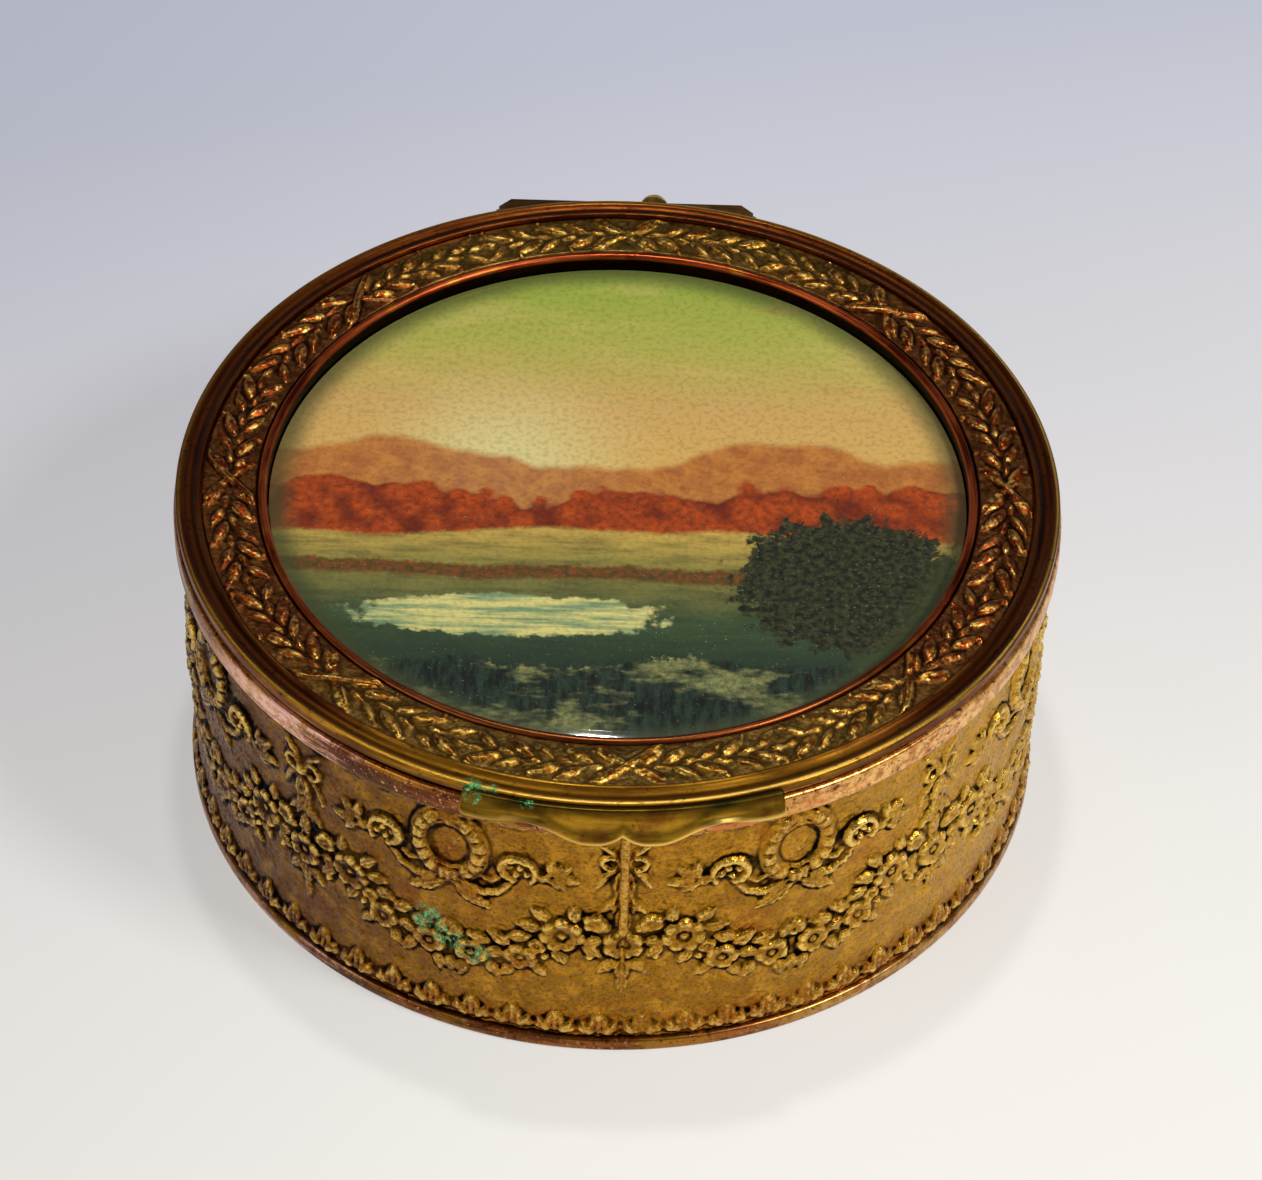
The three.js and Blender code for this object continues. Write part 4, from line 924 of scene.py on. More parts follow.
class Graph:
    """The nodes of a material or world, made by short calls that return fields."""

    def __init__(self, owner, coordinates="Object"):
        owner.use_nodes = True
        self.owner, self.tree = owner, owner.node_tree
        self.place, = self.add("TexCoord").outputs(coordinates)

    def link(self, value, socket):
        if isinstance(value, Field):
            self.tree.links.new(value.socket, socket)
        else:
            socket.default_value = value

    def add(self, kind, inputs=None, **settings):
        """A new node's first output."""
        node = self.tree.nodes.new("ShaderNode" + kind)
        for name, value in settings.items():
            setattr(node, name, value)
        for name, value in (inputs or {}).items():
            self.link(value, node.inputs[name])
        return Field(self, node.outputs[0])

    def math(self, how, a, b=0.0, clamp=False):
        return self.add("Math", {0: a, 1: b}, operation=how, use_clamp=clamp)

    def length(self, a, b):
        return self.math("SQRT", a * a + b * b)

    def spread(self, value, low, high, to_low=0, to_high=1, how="SMOOTHSTEP"):
        """The value's range from low to high, as to_low to to_high."""
        limits = {"From Min": low, "From Max": high, "To Min": to_low, "To Max": to_high}
        return self.add("MapRange", {"Value": value, **limits}, interpolation_type=how)

    def mix(self, share, a, b, how="MIX"):
        kind = {"data_type": "RGBA", "blend_type": how}
        return self.add("Mix", {"Factor": share, 6: a, 7: b}, **kind).outputs(2)[0]

    def between(self, value, low, high, first, second):
        """The first colour up to a low value, the second from a high one."""
        return self.mix(self.spread(value, low, high), first, second)

    def over(self, base, *coats):
        """The base with coats of (share, colour) over it, one after another."""
        for share, colour in coats:
            base = self.mix(share, base, colour)
        return base

    def ramp(self, value, stops):
        made = self.add("ValToRGB", {"Fac": value})
        ramp = made.socket.node.color_ramp
        while len(ramp.elements) < len(stops):
            ramp.elements.new(0.5)
        for element, (place, colour) in zip(ramp.elements, stops):
            element.position = place
            element.color = colour
        return made

    def noise(self, size, detail, rough=0.55, distortion=0.0, at=None):
        return self.add("TexNoise", {
            "Vector": at or self.place, "Scale": 1 / (size * MM),
            "Detail": detail, "Roughness": rough, "Distortion": distortion,
        })

    def patches(self, size, detail, rough, low, high, to_low=0, to_high=1):
        return self.spread(self.noise(size, detail, rough), low, high, to_low, to_high)

    def cells(self, size, feature="F1", at=None):
        inputs = {"Vector": at or self.place, "Scale": 1 / (size * MM)}
        return self.add("TexVoronoi", inputs, feature=feature)

    def stretched(self, scale, at=None):
        return self.add("Mapping", {"Vector": at or self.place, "Scale": scale})

    def streaks(self, size, detail, rough, scale):
        """Noise drawn out round the box, as turning and rubbing leave it."""
        x, y, z = self.axes()
        way = self.math("ARCTAN2", x, y * -1.0) * (rim_high[0] * MM)
        ring = self.add("CombineXYZ", {0: way, 1: self.length(x, y), 2: z})
        return self.noise(size, detail, rough, 0.0, self.stretched((scale, 1, 1), ring))

    def attributes(self, *names):
        return [self.add("Attribute", attribute_name=name).outputs("Fac")[0] for name in names]

    def axes(self, at=None):
        return self.add("SeparateXYZ", {0: at or self.place}).outputs(0, 1, 2)

    def bump(self, height, distance, strength, below=None):
        inputs = {"Strength": strength, "Distance": distance * MM, "Height": height}
        return self.add("Bump", inputs if below is None else {**inputs, "Normal": below})

    def near(self, point, reach):
        """1 at a point in millimetres, falling to 0 at a distance from it."""
        ends = {0: self.place, 1: [each * MM for each in point]}
        away, = self.add("VectorMath", ends, operation="DISTANCE").outputs("Value")
        return self.spread(away, 0, reach * MM, 1, 0)

    def coat(self, base, metal, rough, normal, **more):
        usual = {"Base_Color": base, "Metallic": metal, "Roughness": rough, "Normal": normal}
        for name, value in (usual | more).items():
            self.link(value, self.tree.nodes["Principled BSDF"].inputs[name.replace("_", " ")])

    def show(self, share, first, second):
        """Shows a mix of two shaders in place of the usual one."""
        mixed = self.add("MixShader", {0: share, 1: first, 2: second})
        self.link(mixed, self.tree.nodes["Material Output"].inputs["Surface"])
        self.tree.nodes.remove(self.tree.nodes["Principled BSDF"])


made_materials = {}


def kept(make):
    """Has make fill the graph of a new material, but only once for each name."""
    def wrapper(*args, name=make.__name__):
        if name not in made_materials:
            g = Graph(bpy.data.materials.new(name))
            make(g, *args)
            made_materials[name] = g.owner
        return made_materials[name]
    return wrapper


GOLD = rgb(206, 148, 42)
PALE_GOLD = rgb(250, 208, 104)
OLIVE = rgb(160, 112, 24)
ORANGE_BROWN = rgb(166, 88, 18)
RED_BROWN = rgb(96, 40, 14)
DARK_BROWN = rgb(40, 20, 6)
NEAR_BLACK = rgb(12, 6, 2)
COPPER = rgb(204, 122, 58)
DARK_COPPER = (*(0.3 * each for each in COPPER[:3]), 1)
VERDIGRIS = rgb(34, 122, 62)
MINT = rgb(140, 226, 146)

# Places of the verdigris, each with its reach
WALL_GREEN = (((-20.5, -47.8, 17.0), 3.6), ((-17.6, -49.0, 14.6), 3.2), ((-14.6, -50.4, 13.6), 3.0))
LIFT_GREEN = (((-15.2, -50.8, 41.6), 1.8), ((-15.6, -50.6, 38.4), 1.8), ((-9.0, -51.6, 42.0), 1.6))
LID_GREEN = (((-15.2, -49.5, 41.8), 1.9), ((-13.2, -50.1, 41.8), 1.7))


def verdigris(g, base, places):
    """The base with broken green patches over it, and how metallic that leaves it."""
    total = 0.0
    for point, reach in places:
        total = g.math("ADD", total, g.near(point, reach), True)
    green = g.math("MULTIPLY", g.spread(total, 0.1, 0.7), g.patches(0.8, 5, 0.72, 0.46, 0.58), True)
    colour = g.mix(g.patches(0.6, 4, 0.7, 0.46, 0.6), VERDIGRIS, MINT)
    return g.mix(green, base, colour), g.math("SUBTRACT", 1.0, green * 0.95, True)


@kept
def gilt_wall(g):
    """Old gilding over brass: painted glints on the high places, hollows nearly black with grime and painted
    shade, painted shade on the left side and painted light on the right.
    """
    cavity, hollow, relief = g.attributes("cavity", "hollow", "relief")
    grain = g.noise(0.45, 5, 0.72)
    x, _, z = g.axes()
    # The hollows go nearly black, partly grime and partly painted shade; on the left the painted shade starts
    # at shallower hollows.
    shallow, deep = g.spread(x, -0.045, 0, 0.015, 0.07), g.spread(x, -0.045, 0, 0.1, 0.17)
    hollow_grime_and_shade = g.spread(cavity + hollow * 0.12, shallow, deep) * g.patches(4, 4, 0.65, 0.36, 0.56, 0.6, 1)
    # Painted glints: pale gold on the high places, stronger on the right.
    high = g.spread(grain * 0.5 - cavity, 0.28, 0.5) * g.spread(relief, 0, 0.5, 0.35, 1)
    base = g.over(
        g.mix(g.patches(10, 3, 0.6, 0.5, 0.7, 0, 0.7), OLIVE, ORANGE_BROWN),
        (g.patches(2.4, 4, 0.68, 0.42, 0.66, 0, 0.9), GOLD),
        (g.spread(z, 0.0045, 0.0065, 0.75, 0) * g.patches(1.2, 4, 0.7, 0.38, 0.6), ORANGE_BROWN),
        # Painted light and shade in the next four coats: the left side darker and redder, with heavier dark
        # grain, and the right side lighter.
        (g.spread(x, -0.042, 0.006, 0.75, 0) * g.patches(3.5, 4, 0.65, 0.32, 0.56), RED_BROWN),
        (g.spread(x, 0.015, 0.045, 0, 0.45) * g.spread(z, 0.0045, 0.0075), rgb(236, 184, 66)),
        (g.spread(x, -0.04, -0.012, 0.4, 0), rgb(58, 32, 14)),
        (g.spread(grain, 0.36, 0.52, g.spread(x, 0, 0.03, 0.6, 0.4), 0), rgb(74, 42, 10)),
        (hollow_grime_and_shade, NEAR_BLACK),
        (high * g.spread(x, 0, 0.03, 0.75, 1), PALE_GOLD),
    )
    base, metal = verdigris(g, base, WALL_GREEN)
    rough = g.patches(1.2, 4, 0.7, 0.35, 0.65, 0.22, 0.4) + hollow_grime_and_shade * 0.35 - high * 0.08
    texture = g.bump(grain, 0.09, 0.7, g.bump(g.cells(0.5), 0.09, 0.7))
    g.coat(base, metal, rough, texture)


@kept
def coppery(g, shade_factor):
    """Coppery metal with worn streaks round the ring, in painted shade in front on the left and at the far
    left edge, with painted highlights in a pale streak on the left and in pale flecks on the right.
    """
    streaks = g.streaks(1.6, 5, 0.65, 0.14)
    x, y, _ = g.axes()
    # Painted shade in front on the left.
    front_left_shade = g.spread(x, -0.03, 0.012, 1, 0) * g.spread(y, -0.044, -0.034, 0.9, 0)
    # Painted highlight: a pale pink streak in a band on the left.
    beside = g.spread(x, -0.047, -0.041) * g.spread(x, -0.034, -0.026, 1, 0)
    pale_streak_highlight = beside * g.spread(streaks, 0.44, 0.56, 0, 0.9) * g.patches(1.1, 4, 0.7, 0.4, 0.54, 0.3, 1)
    base = g.over(
        g.between(streaks, 0.3, 0.62, DARK_COPPER, COPPER),
        (g.patches(7, 3, 0.6, 0.42, 0.62, 0, 0.8), GOLD),
        # Painted highlight: pale flecks on the right.
        (g.spread(x, 0.012, 0.03) * g.patches(1.3, 5, 0.7, 0.42, 0.58, 0.1, 0.9), rgb(255, 200, 122)),
        (front_left_shade * g.spread(streaks, 0.4, 0.62, 1, 0.5), rgb(78, 32, 14)),
        (g.patches(0.8, 4, 0.7, 0.54, 0.66, 0, 0.85), DARK_BROWN),
        # Painted shade at the far left edge.
        (g.spread(x, -0.049, -0.043, 0.6, 0) * g.spread(streaks, 0.4, 0.6, 1, 0.4), DARK_BROWN),
        (pale_streak_highlight, rgb(255, 200, 180)),
        (g.patches(0.5, 4, 0.72, 0.57, 0.7, 0, 0.9), rgb(250, 196, 140)),
    )
    # The copy is darkened by this factor, as painted shade where it is below 1.
    base = g.mix(1.0, base, (shade_factor, shade_factor, shade_factor, 1), "MULTIPLY")
    rough = g.spread(streaks, 0.3, 0.7, 0.42, 0.22)
    g.coat(base, 1, rough, g.bump(g.noise(0.6, 5, 0.6), 0.03, 0.6))


@kept
def copper_bead(g):
    """The red copper bead round the glass, dark with painted shade where it meets the glass and the wreath.
    """
    streaks = g.streaks(1.2, 4, 0.6, 0.1)
    _, y, z = g.axes()
    foot, shoulder = (bezel_high[2] - 0.75) * MM, (bezel_high[2] - 0.35) * MM
    base = g.over(
        g.between(streaks, 0.35, 0.65, rgb(116, 42, 18), rgb(186, 88, 42)),
        (g.patches(5, 3, 0.55, 0.58, 0.72, 0, 0.4), GOLD),
        (g.spread(y, -0.036, -0.012, 0.8, 0), rgb(104, 60, 28)),
        # Painted shade: nearly black below the bead's top.
        (g.spread(z, foot, shoulder, 0.95, 0), NEAR_BLACK),
    )
    rough = g.spread(streaks, 0.3, 0.7, 0.24, 0.4)
    g.coat(base, 1, rough, g.bump(g.noise(0.5, 3), 0.015, 0.5))


@kept
def dull_brass(g):
    """Brass gone brown inside and below, with faint turning marks."""
    rings = g.streaks(0.5, 3, 0.5, 0.03)
    base = g.over(
        g.between(g.noise(6, 5, 0.65), 0.38, 0.66, rgb(84, 56, 28), rgb(138, 100, 48)),
        (g.patches(1.1, 5, 0.7, 0.56, 0.72, 0, 0.8), DARK_BROWN),
    )
    g.coat(base, 1, g.spread(rings, 0.3, 0.7, 0.42, 0.56), g.bump(rings, 0.02, 0.7))


@kept
def lid_gilt(g):
    """The lid's mouldings: dark red-brown in the hollow round the sides and olive-gold in front as painted
    reflection, gold on the edges that is partly worn and partly painted highlight, and painted shade in the
    cove's creases.
    """
    streaks = g.streaks(1.5, 5, 0.65, 0.1)
    edge, crease_shade = g.attributes("relief", "crease_shade")
    x, y, _ = g.axes()
    # Painted reflection: a darker red-brown round the sides and a brighter olive-gold in front.
    side_dark_reflection = g.between(streaks, 0.34, 0.66, rgb(84, 36, 14), rgb(134, 72, 26))
    ahead = g.between(streaks, 0.34, 0.66, rgb(100, 62, 14), rgb(150, 104, 26))
    # Gold on the edges: partly worn gilding and partly painted highlight, strongest in front.
    gold = g.spread(edge + g.spread(streaks, 0.3, 0.7, -0.35, 0.2), 0.3, 0.85)
    base = g.over(
        g.mix(g.spread(y, -0.046, -0.036, 1, 0), side_dark_reflection, ahead),
        (gold * g.spread(y, -0.034, -0.014, 1, 0.25), GOLD),
        # Painted highlight: a pale gold line on the edges, stronger on the right.
        (g.spread(edge, 0.72, 0.95) * g.spread(x, -0.03, 0.015, 0.15, 0.9), PALE_GOLD),
        (g.patches(0.9, 5, 0.7, 0.55, 0.7, 0, 0.7), NEAR_BLACK),
        # Painted shade in the creases of the cove.
        (crease_shade * g.spread(streaks, 0.3, 0.6, 1, 0.6) * g.spread(y, -0.046, -0.034, 0.25, 1), NEAR_BLACK),
    )
    base, metal = verdigris(g, base, LID_GREEN)
    rough = g.spread(streaks, 0.3, 0.7, 0.46, 0.28) + g.spread(y, -0.046, -0.034, 0.12, 0)
    texture = g.bump(g.noise(0.5, 5, 0.65), 0.03, 0.7)
    g.coat(base, metal, rough, texture)


@kept
def lift_gilt(g):
    """The thumb lift: gold worn smooth by fingers, with a painted highlight along its lip, painted shade in
    its creases, and verdigris at one end.
    """
    streaks = g.streaks(1.6, 5, 0.6, 0.16)
    lip, crease_shade = g.attributes("relief", "crease_shade")
    base = g.over(
        g.between(streaks, 0.35, 0.65, rgb(124, 86, 20), rgb(176, 132, 34)),
        (g.patches(5, 4, 0.55, 0.5, 0.7, 0, 0.75), RED_BROWN),
        (g.patches(0.8, 5, 0.7, 0.56, 0.7, 0, 0.6), DARK_BROWN),
        # Painted highlight along the lip, stronger to the right.
        (g.spread(lip, 0.4, 1) * g.spread(g.axes()[0], -0.012, 0.006, 0.3, 0.85), PALE_GOLD),
        # Painted shade in the creases, dark olive.
        (g.math("MULTIPLY", crease_shade, 0.8, True), rgb(40, 38, 12)),
    )
    base, metal = verdigris(g, base, LIFT_GREEN)
    rough = g.spread(streaks, 0.3, 0.7, 0.42, 0.28)
    texture = g.bump(g.noise(0.6, 5, 0.6), 0.03, 0.6)
    g.coat(base, metal, rough, texture)


@kept
def rivet_brass(g):
    worn = g.noise(0.9, 4, 0.65)
    base = g.between(worn, 0.36, 0.62, rgb(170, 132, 54), rgb(246, 214, 130))
    g.coat(base, 0.9, g.spread(worn, 0.3, 0.7, 0.6, 0.42), g.bump(worn, 0.03, 0.6))


@kept
def wreath_gilt(g):
    """The wreath: brown leaves with painted highlights on their edges, hollows dark with grime and painted
    shade, and painted reflection making it redder at the sides and olive at both ends.
    """
    cavity, relief = g.attributes("cavity", "relief")
    y = g.axes()[1]
    # Painted reflection: greyer and more olive tones at the ends, in front and behind, and redder ones at the
    # sides; the hollows are also darkened less at the ends.
    ends = g.math("MAXIMUM", g.spread(y, -0.04, -0.025, 1, 0), g.spread(y, 0.03, 0.042))
    shades, tones, grain = g.noise(3, 4), g.noise(1.6, 4), g.noise(0.5, 5, 0.7)
    reddish = g.between(shades, 0.35, 0.65, rgb(108, 62, 28), rgb(142, 88, 42))
    greyish = g.between(shades, 0.35, 0.65, rgb(112, 84, 36), rgb(150, 114, 52))
    red = g.between(tones, 0.36, 0.62, rgb(112, 34, 12), rgb(154, 66, 22))
    olive = g.between(tones, 0.36, 0.62, rgb(112, 62, 18), rgb(152, 104, 30))
    # The hollows go nearly black, partly grime and partly painted shade.
    hollow_grime_and_shade = g.spread(cavity, 0.01, 0.12)
    # Painted glints on the high places and painted highlights along the leaves' edges.
    high = g.spread(g.noise(0.8, 4, 0.7) * 0.34 - cavity, 0.23, 0.31) * g.spread(relief, 0.4, 0.8, 0, 0.45)
    rim_highlights = g.spread(relief, 0.22, 0.36) * g.spread(relief, 0.5, 0.66, 1, 0)
    rim_highlights = rim_highlights * g.patches(1.2, 4, 0.7, 0.5, 0.62, 0, 0.85)
    base = g.over(
        g.between(relief, 0.12, 0.4, g.mix(ends, reddish, greyish), g.mix(ends, red, olive)),
        (g.spread(grain, 0.32, 0.54, 0.5, 0), DARK_BROWN),
        (g.patches(0.35, 4, 0.7, 0.6, 0.7, 0, 0.6), rgb(190, 168, 110)),
        (hollow_grime_and_shade * (0.92 - ends * 0.3), NEAR_BLACK),
        (g.math("MAXIMUM", high, rim_highlights), PALE_GOLD),
    )
    rough = g.patches(1.1, 4, 0.7, 0.35, 0.65, 0.28, 0.5) + hollow_grime_and_shade * 0.3
    texture = g.bump(grain, 0.05, 0.6, g.bump(g.cells(0.4), 0.05, 0.5))
    g.coat(base, 1, rough, texture)


@kept
def velvet(g):
    nap = g.noise(0.25, 3, 0.6)
    brushed = g.between(g.noise(7, 3, 0.6, 0.6), 0.35, 0.65, rgb(84, 14, 26), rgb(122, 26, 40))
    base = g.mix(g.spread(nap, 0.3, 0.7, 0.3, 0), brushed, rgb(40, 4, 10))
    sheen = {"Sheen_Weight": 0.7, "Sheen_Roughness": 0.4, "Sheen_Tint": rgb(214, 120, 130)}
    g.coat(base, 0, 0.95, g.bump(nap, 0.12, 0.7), Specular_IOR_Level=0.15, **sheen)


@kept
def silk(g):
    """Old ivory silk: slubbed weave over wadding."""
    slub = g.noise(0.5, 4, 0.6, 0.0, g.stretched((0.12, 1, 1)))
    weave = slub + g.noise(0.3, 3, 0.6, 0.0, g.stretched((1, 0.1, 1)))
    base = g.over(
        g.between(weave, 0.8, 1.25, rgb(176, 150, 100), rgb(222, 202, 156)),
        (g.patches(12, 4, 0.55, 0.55, 0.75, 0, 0.4), rgb(150, 112, 62)),
    )
    g.coat(base, 0, 0.5, g.bump(weave, 0.04, 0.7), Sheen_Weight=0.35)


@kept
def grey_board(g):
    fibres = g.noise(0.6, 5, 0.7, 0.0, g.stretched((1, 0.3, 1)))
    base = g.between(fibres, 0.3, 0.7, rgb(118, 104, 78), rgb(150, 136, 106))
    g.coat(base, 0, 0.9, g.bump(fibres, 0.03, 0.6))


@kept
def clear_glass(g):
    """Clear glass that lets the lamps through to the picture: only its gloss is drawn."""
    behind, = g.add("NewGeometry").outputs("Backfacing")
    clear = g.add("BsdfTransparent", {"Color": (0.95, 0.965, 0.94, 1)})
    gloss = g.add("BsdfGlossy", {"Roughness": 0.06})
    g.show(g.add("Fresnel", {"IOR": 1.5}) * (1.0 - behind), clear, gloss)


@kept
def painted_landscape(g, radius):
    """A generic evening landscape: hills, woods, a hedged meadow, a pond and a bush."""
    x, y, _ = g.axes(g.stretched((1 / (radius * MM),) * 3))

    def daubs(size, detail, rough, along=1, up=1, bent=0.0):
        return g.noise(size, detail, rough, bent, g.stretched((along, up, 0)))

    def centred(field, amount):
        """A field from 0 to 1, as -amount to amount."""
        return g.spread(field, 0, 1, -amount, amount, "LINEAR")

    def wavy(size, amount, seed, level):
        at = g.add("CombineXYZ", {0: x, 1: seed})
        return (g.noise(size / MM, 3, 0.5, 0.0, at) - 0.5) * amount + level

    def below(line, softness, ragged, size=1.5):
        if ragged:
            line = line + centred(daubs(size, 4, 0.7), ragged)
        return g.spread(y - line, -softness, softness, 1, 0)

    def blob(across, up, wide, tall, ragged, low, high, *grain):
        """An oval with a ragged edge, its middle and half sizes given."""
        oval = g.length((x - across) / wide, (y - up) / tall)
        return g.spread(oval + centred(daubs(*grain), ragged), low, high, 1, 0)

    warp = centred(daubs(9, 5, 0.6), 0.07)
    leafage = daubs(0.9, 5, 0.7)
    height = y + warp
    sky = g.over(
        g.ramp(g.spread(height, -0.15, 0.95, how="LINEAR"), [
            (0.0, rgb(255, 222, 128)), (0.22, rgb(250, 196, 112)), (0.48, rgb(240, 190, 116)),
            (0.72, rgb(208, 198, 98)), (1.0, rgb(176, 194, 76)),
        ]),
        (g.spread(daubs(8, 5, 0.62, 0.35, bent=0.4), 0.5, 0.72, 0, 0.55), rgb(255, 214, 140)),
        (g.spread(daubs(6, 5, 0.6, 0.3, bent=0.3), 0.56, 0.74, 0, 0.35), rgb(226, 138, 70)),
        (g.spread(g.length(x - -0.34, y - 0.12), 0, 0.5, 0.8, 0), rgb(255, 240, 176)),
    )
    far_colour = g.between(daubs(3, 4, 0.6), 0.35, 0.65, rgb(222, 132, 56), rgb(190, 92, 40))

    clumps = g.cells(2.6, "SMOOTH_F1", g.stretched((1, 1, 0)))
    tree_line = wavy(0.4, 0.3, 7.7, 0.02) + g.spread(clumps, 0, 1, 0.05, -0.05, "LINEAR")
    wood_colour = g.over(
        g.between(clumps, 0.2, 0.8, rgb(222, 88, 22), rgb(138, 40, 12)),
        (g.spread(leafage, 0.35, 0.7, 0, 0.7), rgb(84, 26, 10)),
    )

    field = g.over(
        g.ramp(g.spread(height, -0.75, -0.12, how="LINEAR"), [
            (0.0, rgb(26, 46, 42)), (0.4, rgb(74, 94, 62)),
            (0.75, rgb(176, 156, 78)), (1.0, rgb(244, 196, 98)),
        ]),
        (g.spread(daubs(1.4, 5, 0.65, 0.16), 0.4, 0.7, 0, 0.5), rgb(40, 56, 40)),
    )
    hedge = wavy(0.7, 0.2, 21.0, -0.29)
    hedge_band = below(hedge, 0.01, 0.03, 1.6) * (1.0 - below(hedge - 0.055, 0.012, 0.012))
    hedge_colour = g.between(leafage, 0.35, 0.65, rgb(70, 62, 30), rgb(150, 72, 24))
    water = g.between(daubs(1.2, 4, 0.6, 0.1), 0.4, 0.62, rgb(250, 232, 150), rgb(140, 168, 128))

    bank_colour = g.over(
        g.between(daubs(0.9, 5, 0.7, 1, 0.25), 0.36, 0.66, rgb(8, 16, 18), rgb(48, 68, 56)),
        (
            g.spread(daubs(7, 4, 0.65, 0.45), 0.49, 0.6, 0, 0.75),
            g.between(leafage, 0.35, 0.65, rgb(112, 122, 84), rgb(190, 180, 112)),
        ),
    )
    bush_colour = g.between(leafage, 0.35, 0.68, rgb(10, 16, 16), rgb(78, 78, 46))

    dabs = daubs(0.7, 3, 0.6, bent=0.3)
    rim = g.spread(g.length(x, y) + warp * 0.25, 0.9, 0.99)
    colour = g.over(
        sky,
        (below(wavy(0.55, 0.42, 3.1, 0.17), 0.02, 0) * 0.85, far_colour),
        (below(tree_line, 0.012, 0.015, 0.8), wood_colour),
        (below(wavy(0.8, 0.16, 12.4, -0.17), 0.012, 0.01, 0.7), field),
        (hedge_band * 0.9, hedge_colour),
        (blob(-0.3, -0.5, 0.46, 0.085, 0.45, 0.88, 1.02, 2.4, 4, 0.6), water),
        (below(wavy(0.5, 0.34, 33.0, -0.68), 0.01, 0.05, 0.9), bank_colour),
        (blob(0.66, -0.34, 0.36, 0.3, 0.5, 0.86, 0.96, 2.6, 5, 0.7), bush_colour),
        (g.spread(dabs, 0.34, 0.56, 0.2, 0), rgb(40, 30, 14)),
        (g.spread(daubs(0.45, 3, 0.7), 0.63, 0.74, 0, 0.4), rgb(255, 240, 196)),
        (rim * 0.75, rgb(74, 80, 46)),
    )
    g.coat(colour, 0, 0.6, g.bump(dabs, 0.02, 0.4), Specular_IOR_Level=0.3)


# Surroundings

FLOOR_HALF = 2.5  # metres
FLOOR_GLOW = 0.55

# The camera was fitted to the photograph's frame of 1262 by 1180 pixels.
FRAME_WIDTH = 1262
FOCAL_PIXELS = 4500
SENSOR_WIDTH = 36
ELEVATION = 44.5
ROLL = 1.63
DISTANCE = 544.2
TARGET_HEIGHT = 20.98
LEFT_PIXELS = 16.2  # the target lies this far left of the frame's middle
DOWN_PIXELS = 19.1


def floor():
    """A pale sweep with painted light: near white round the box and faintly blue far from it, and a painted
    shadow that darkens it to the left.
    """
    mesh = bpy.data.meshes.new("floor")
    corners = block(-FLOOR_HALF, FLOOR_HALF, -FLOOR_HALF, FLOOR_HALF)
    mesh.from_pydata([(x, y, 0) for x, y in corners], [], [(0, 1, 2, 3)])
    ground = added("floor", mesh)
    g = Graph(bpy.data.materials.new("paper_floor"))
    x, y, _ = g.axes()
    # Painted light: near white round the box, faintly blue further away.
    colour = g.ramp(g.spread(y + x * -0.25, -0.12, 0.2, how="LINEAR"), [
        (0.0, rgb(255, 251, 244)), (0.3, rgb(244, 242, 238)), (0.55, rgb(224, 223, 227)),
        (0.8, rgb(200, 203, 218)), (1.0, rgb(196, 200, 220)),
    ])
    # Painted shadow: the floor darkens towards the left.
    left_shadow = g.ramp(g.spread(x, -0.11, 0.02, 0.9, 1), [(0.0, (0, 0, 0, 1)), (1.0, (1, 1, 1, 1))])
    colour = g.mix(1.0, colour, left_shadow, "MULTIPLY")
    path = g.add("LightPath")
    ahead, glossy, through = path.outputs("Is Camera Ray", "Is Glossy Ray", "Is Transmission Ray")
    seen = g.math("MAXIMUM", ahead, g.math("MAXIMUM", glossy, through))
    g.show(seen * FLOOR_GLOW, g.add("BsdfDiffuse", {"Color": colour}), g.add("Emission", {"Color": colour}))
    mesh.materials.append(g.owner)


def lamp(name, place, size, watts, target=(0, 0, 0.02)):
    light = bpy.data.lights.new(name, "AREA")
    light.shape = "RECTANGLE"
    light.size, light.size_y = size
    light.energy = watts
    made = added(name, light)
    made.location = place
    made.rotation_euler = (Vector(target) - Vector(place)).to_track_quat("-Z", "Y").to_euler()


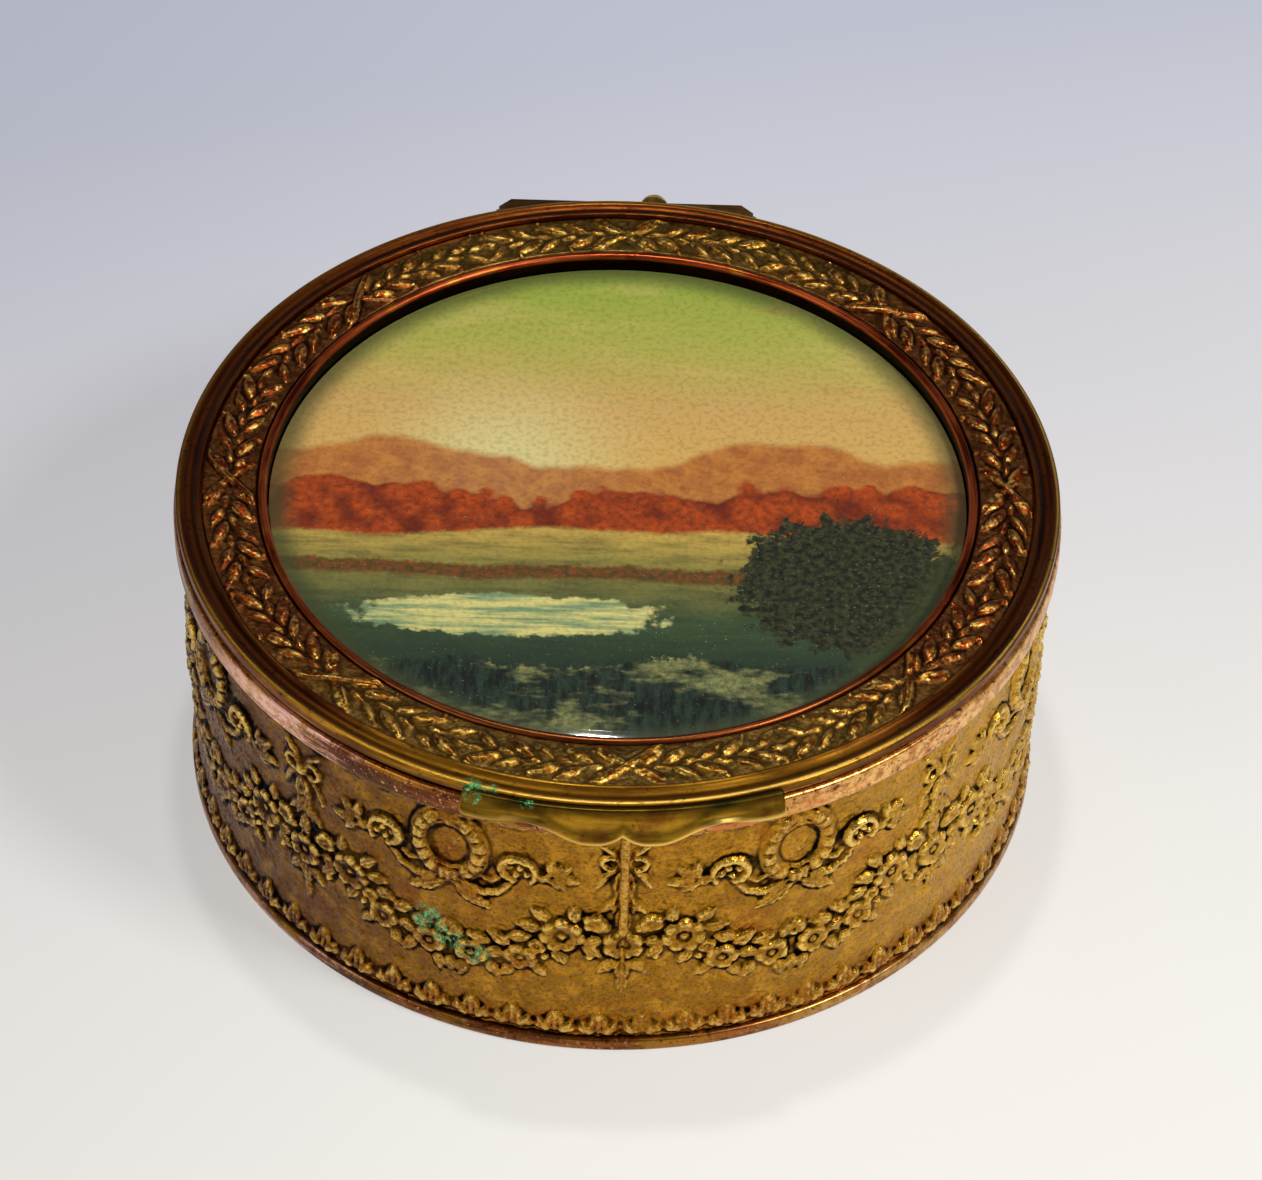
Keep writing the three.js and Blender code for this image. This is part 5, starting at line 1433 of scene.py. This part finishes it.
def lights():
    lamp("key_light", (0.45, -0.28, 0.62), (0.16, 0.16), 3.4)
    lamp("fill_light", (-0.55, -0.4, 0.4), (0.5, 0.4), 1.1)
    lamp("top_light", (-0.02, 0.14, 0.8), (0.05, 0.05), 1.6)
    world = bpy.data.worlds.new("studio")
    bpy.context.scene.world = world
    g = Graph(world, "Generated")
    colour = g.ramp(g.axes()[2], [
        (0.0, (0.5, 0.5, 0.53, 1)), (0.22, (0.34, 0.34, 0.36, 1)), (0.42, (0.07, 0.06, 0.055, 1)),
        (0.85, (0.1, 0.095, 0.09, 1)), (1.0, (0.3, 0.29, 0.28, 1)),
    ])
    g.link(colour, g.tree.nodes["Background"].inputs["Color"])


def camera():
    data = bpy.data.cameras.new("camera")
    data.sensor_width = SENSOR_WIDTH
    data.lens = FOCAL_PIXELS * SENSOR_WIDTH / FRAME_WIDTH
    data.shift_x = LEFT_PIXELS / FRAME_WIDTH
    data.shift_y = DOWN_PIXELS / FRAME_WIDTH
    data.clip_start, data.clip_end = 0.01, 20
    made = added("camera", data)
    elevation, roll = math.radians(ELEVATION), math.radians(ROLL)
    back = Vector((0, -math.cos(elevation), math.sin(elevation)))
    right = Vector((1, 0, 0))
    up = back.cross(right)
    turned_right = math.cos(roll) * right + math.sin(roll) * up
    turned_up = -math.sin(roll) * right + math.cos(roll) * up
    place = Vector((0, 0, TARGET_HEIGHT * MM)) + back * DISTANCE * MM
    facing = Matrix((turned_right, turned_up, back)).transposed().to_4x4()
    made.matrix_world = Matrix.Translation(place) @ facing
    bpy.context.scene.camera = made


camera()
floor()
lights()
bpy.context.scene.view_settings.view_transform = "Standard"

foot_ring()
coated(frame["nodes"]["base_plate"], dull_brass(name="plate_brass"))
inner_drum()
embossed_wall()
seam_strip()
body_rim()
lining_wall()
pad("lining_floor", floor_high[0], floor_low[2], floor_high[2], "box_body", "velvet", velvet())
lid_rim()
wreath_band()
bezel_ring()
bezel_prongs()
glass()
picture()
coated(frame["nodes"]["backing_card"], grey_board())
lid_underplate()
pad("lid_pad", pad_high[0], pad_high[2], pad_low[2], "lid", "silk", silk())
thumb_lift()
hinge_leaf("hinge_leaf_body", "box_body")
hinge_leaf("hinge_leaf_lid", "lid")
hinge_pin()
hinge_stud()
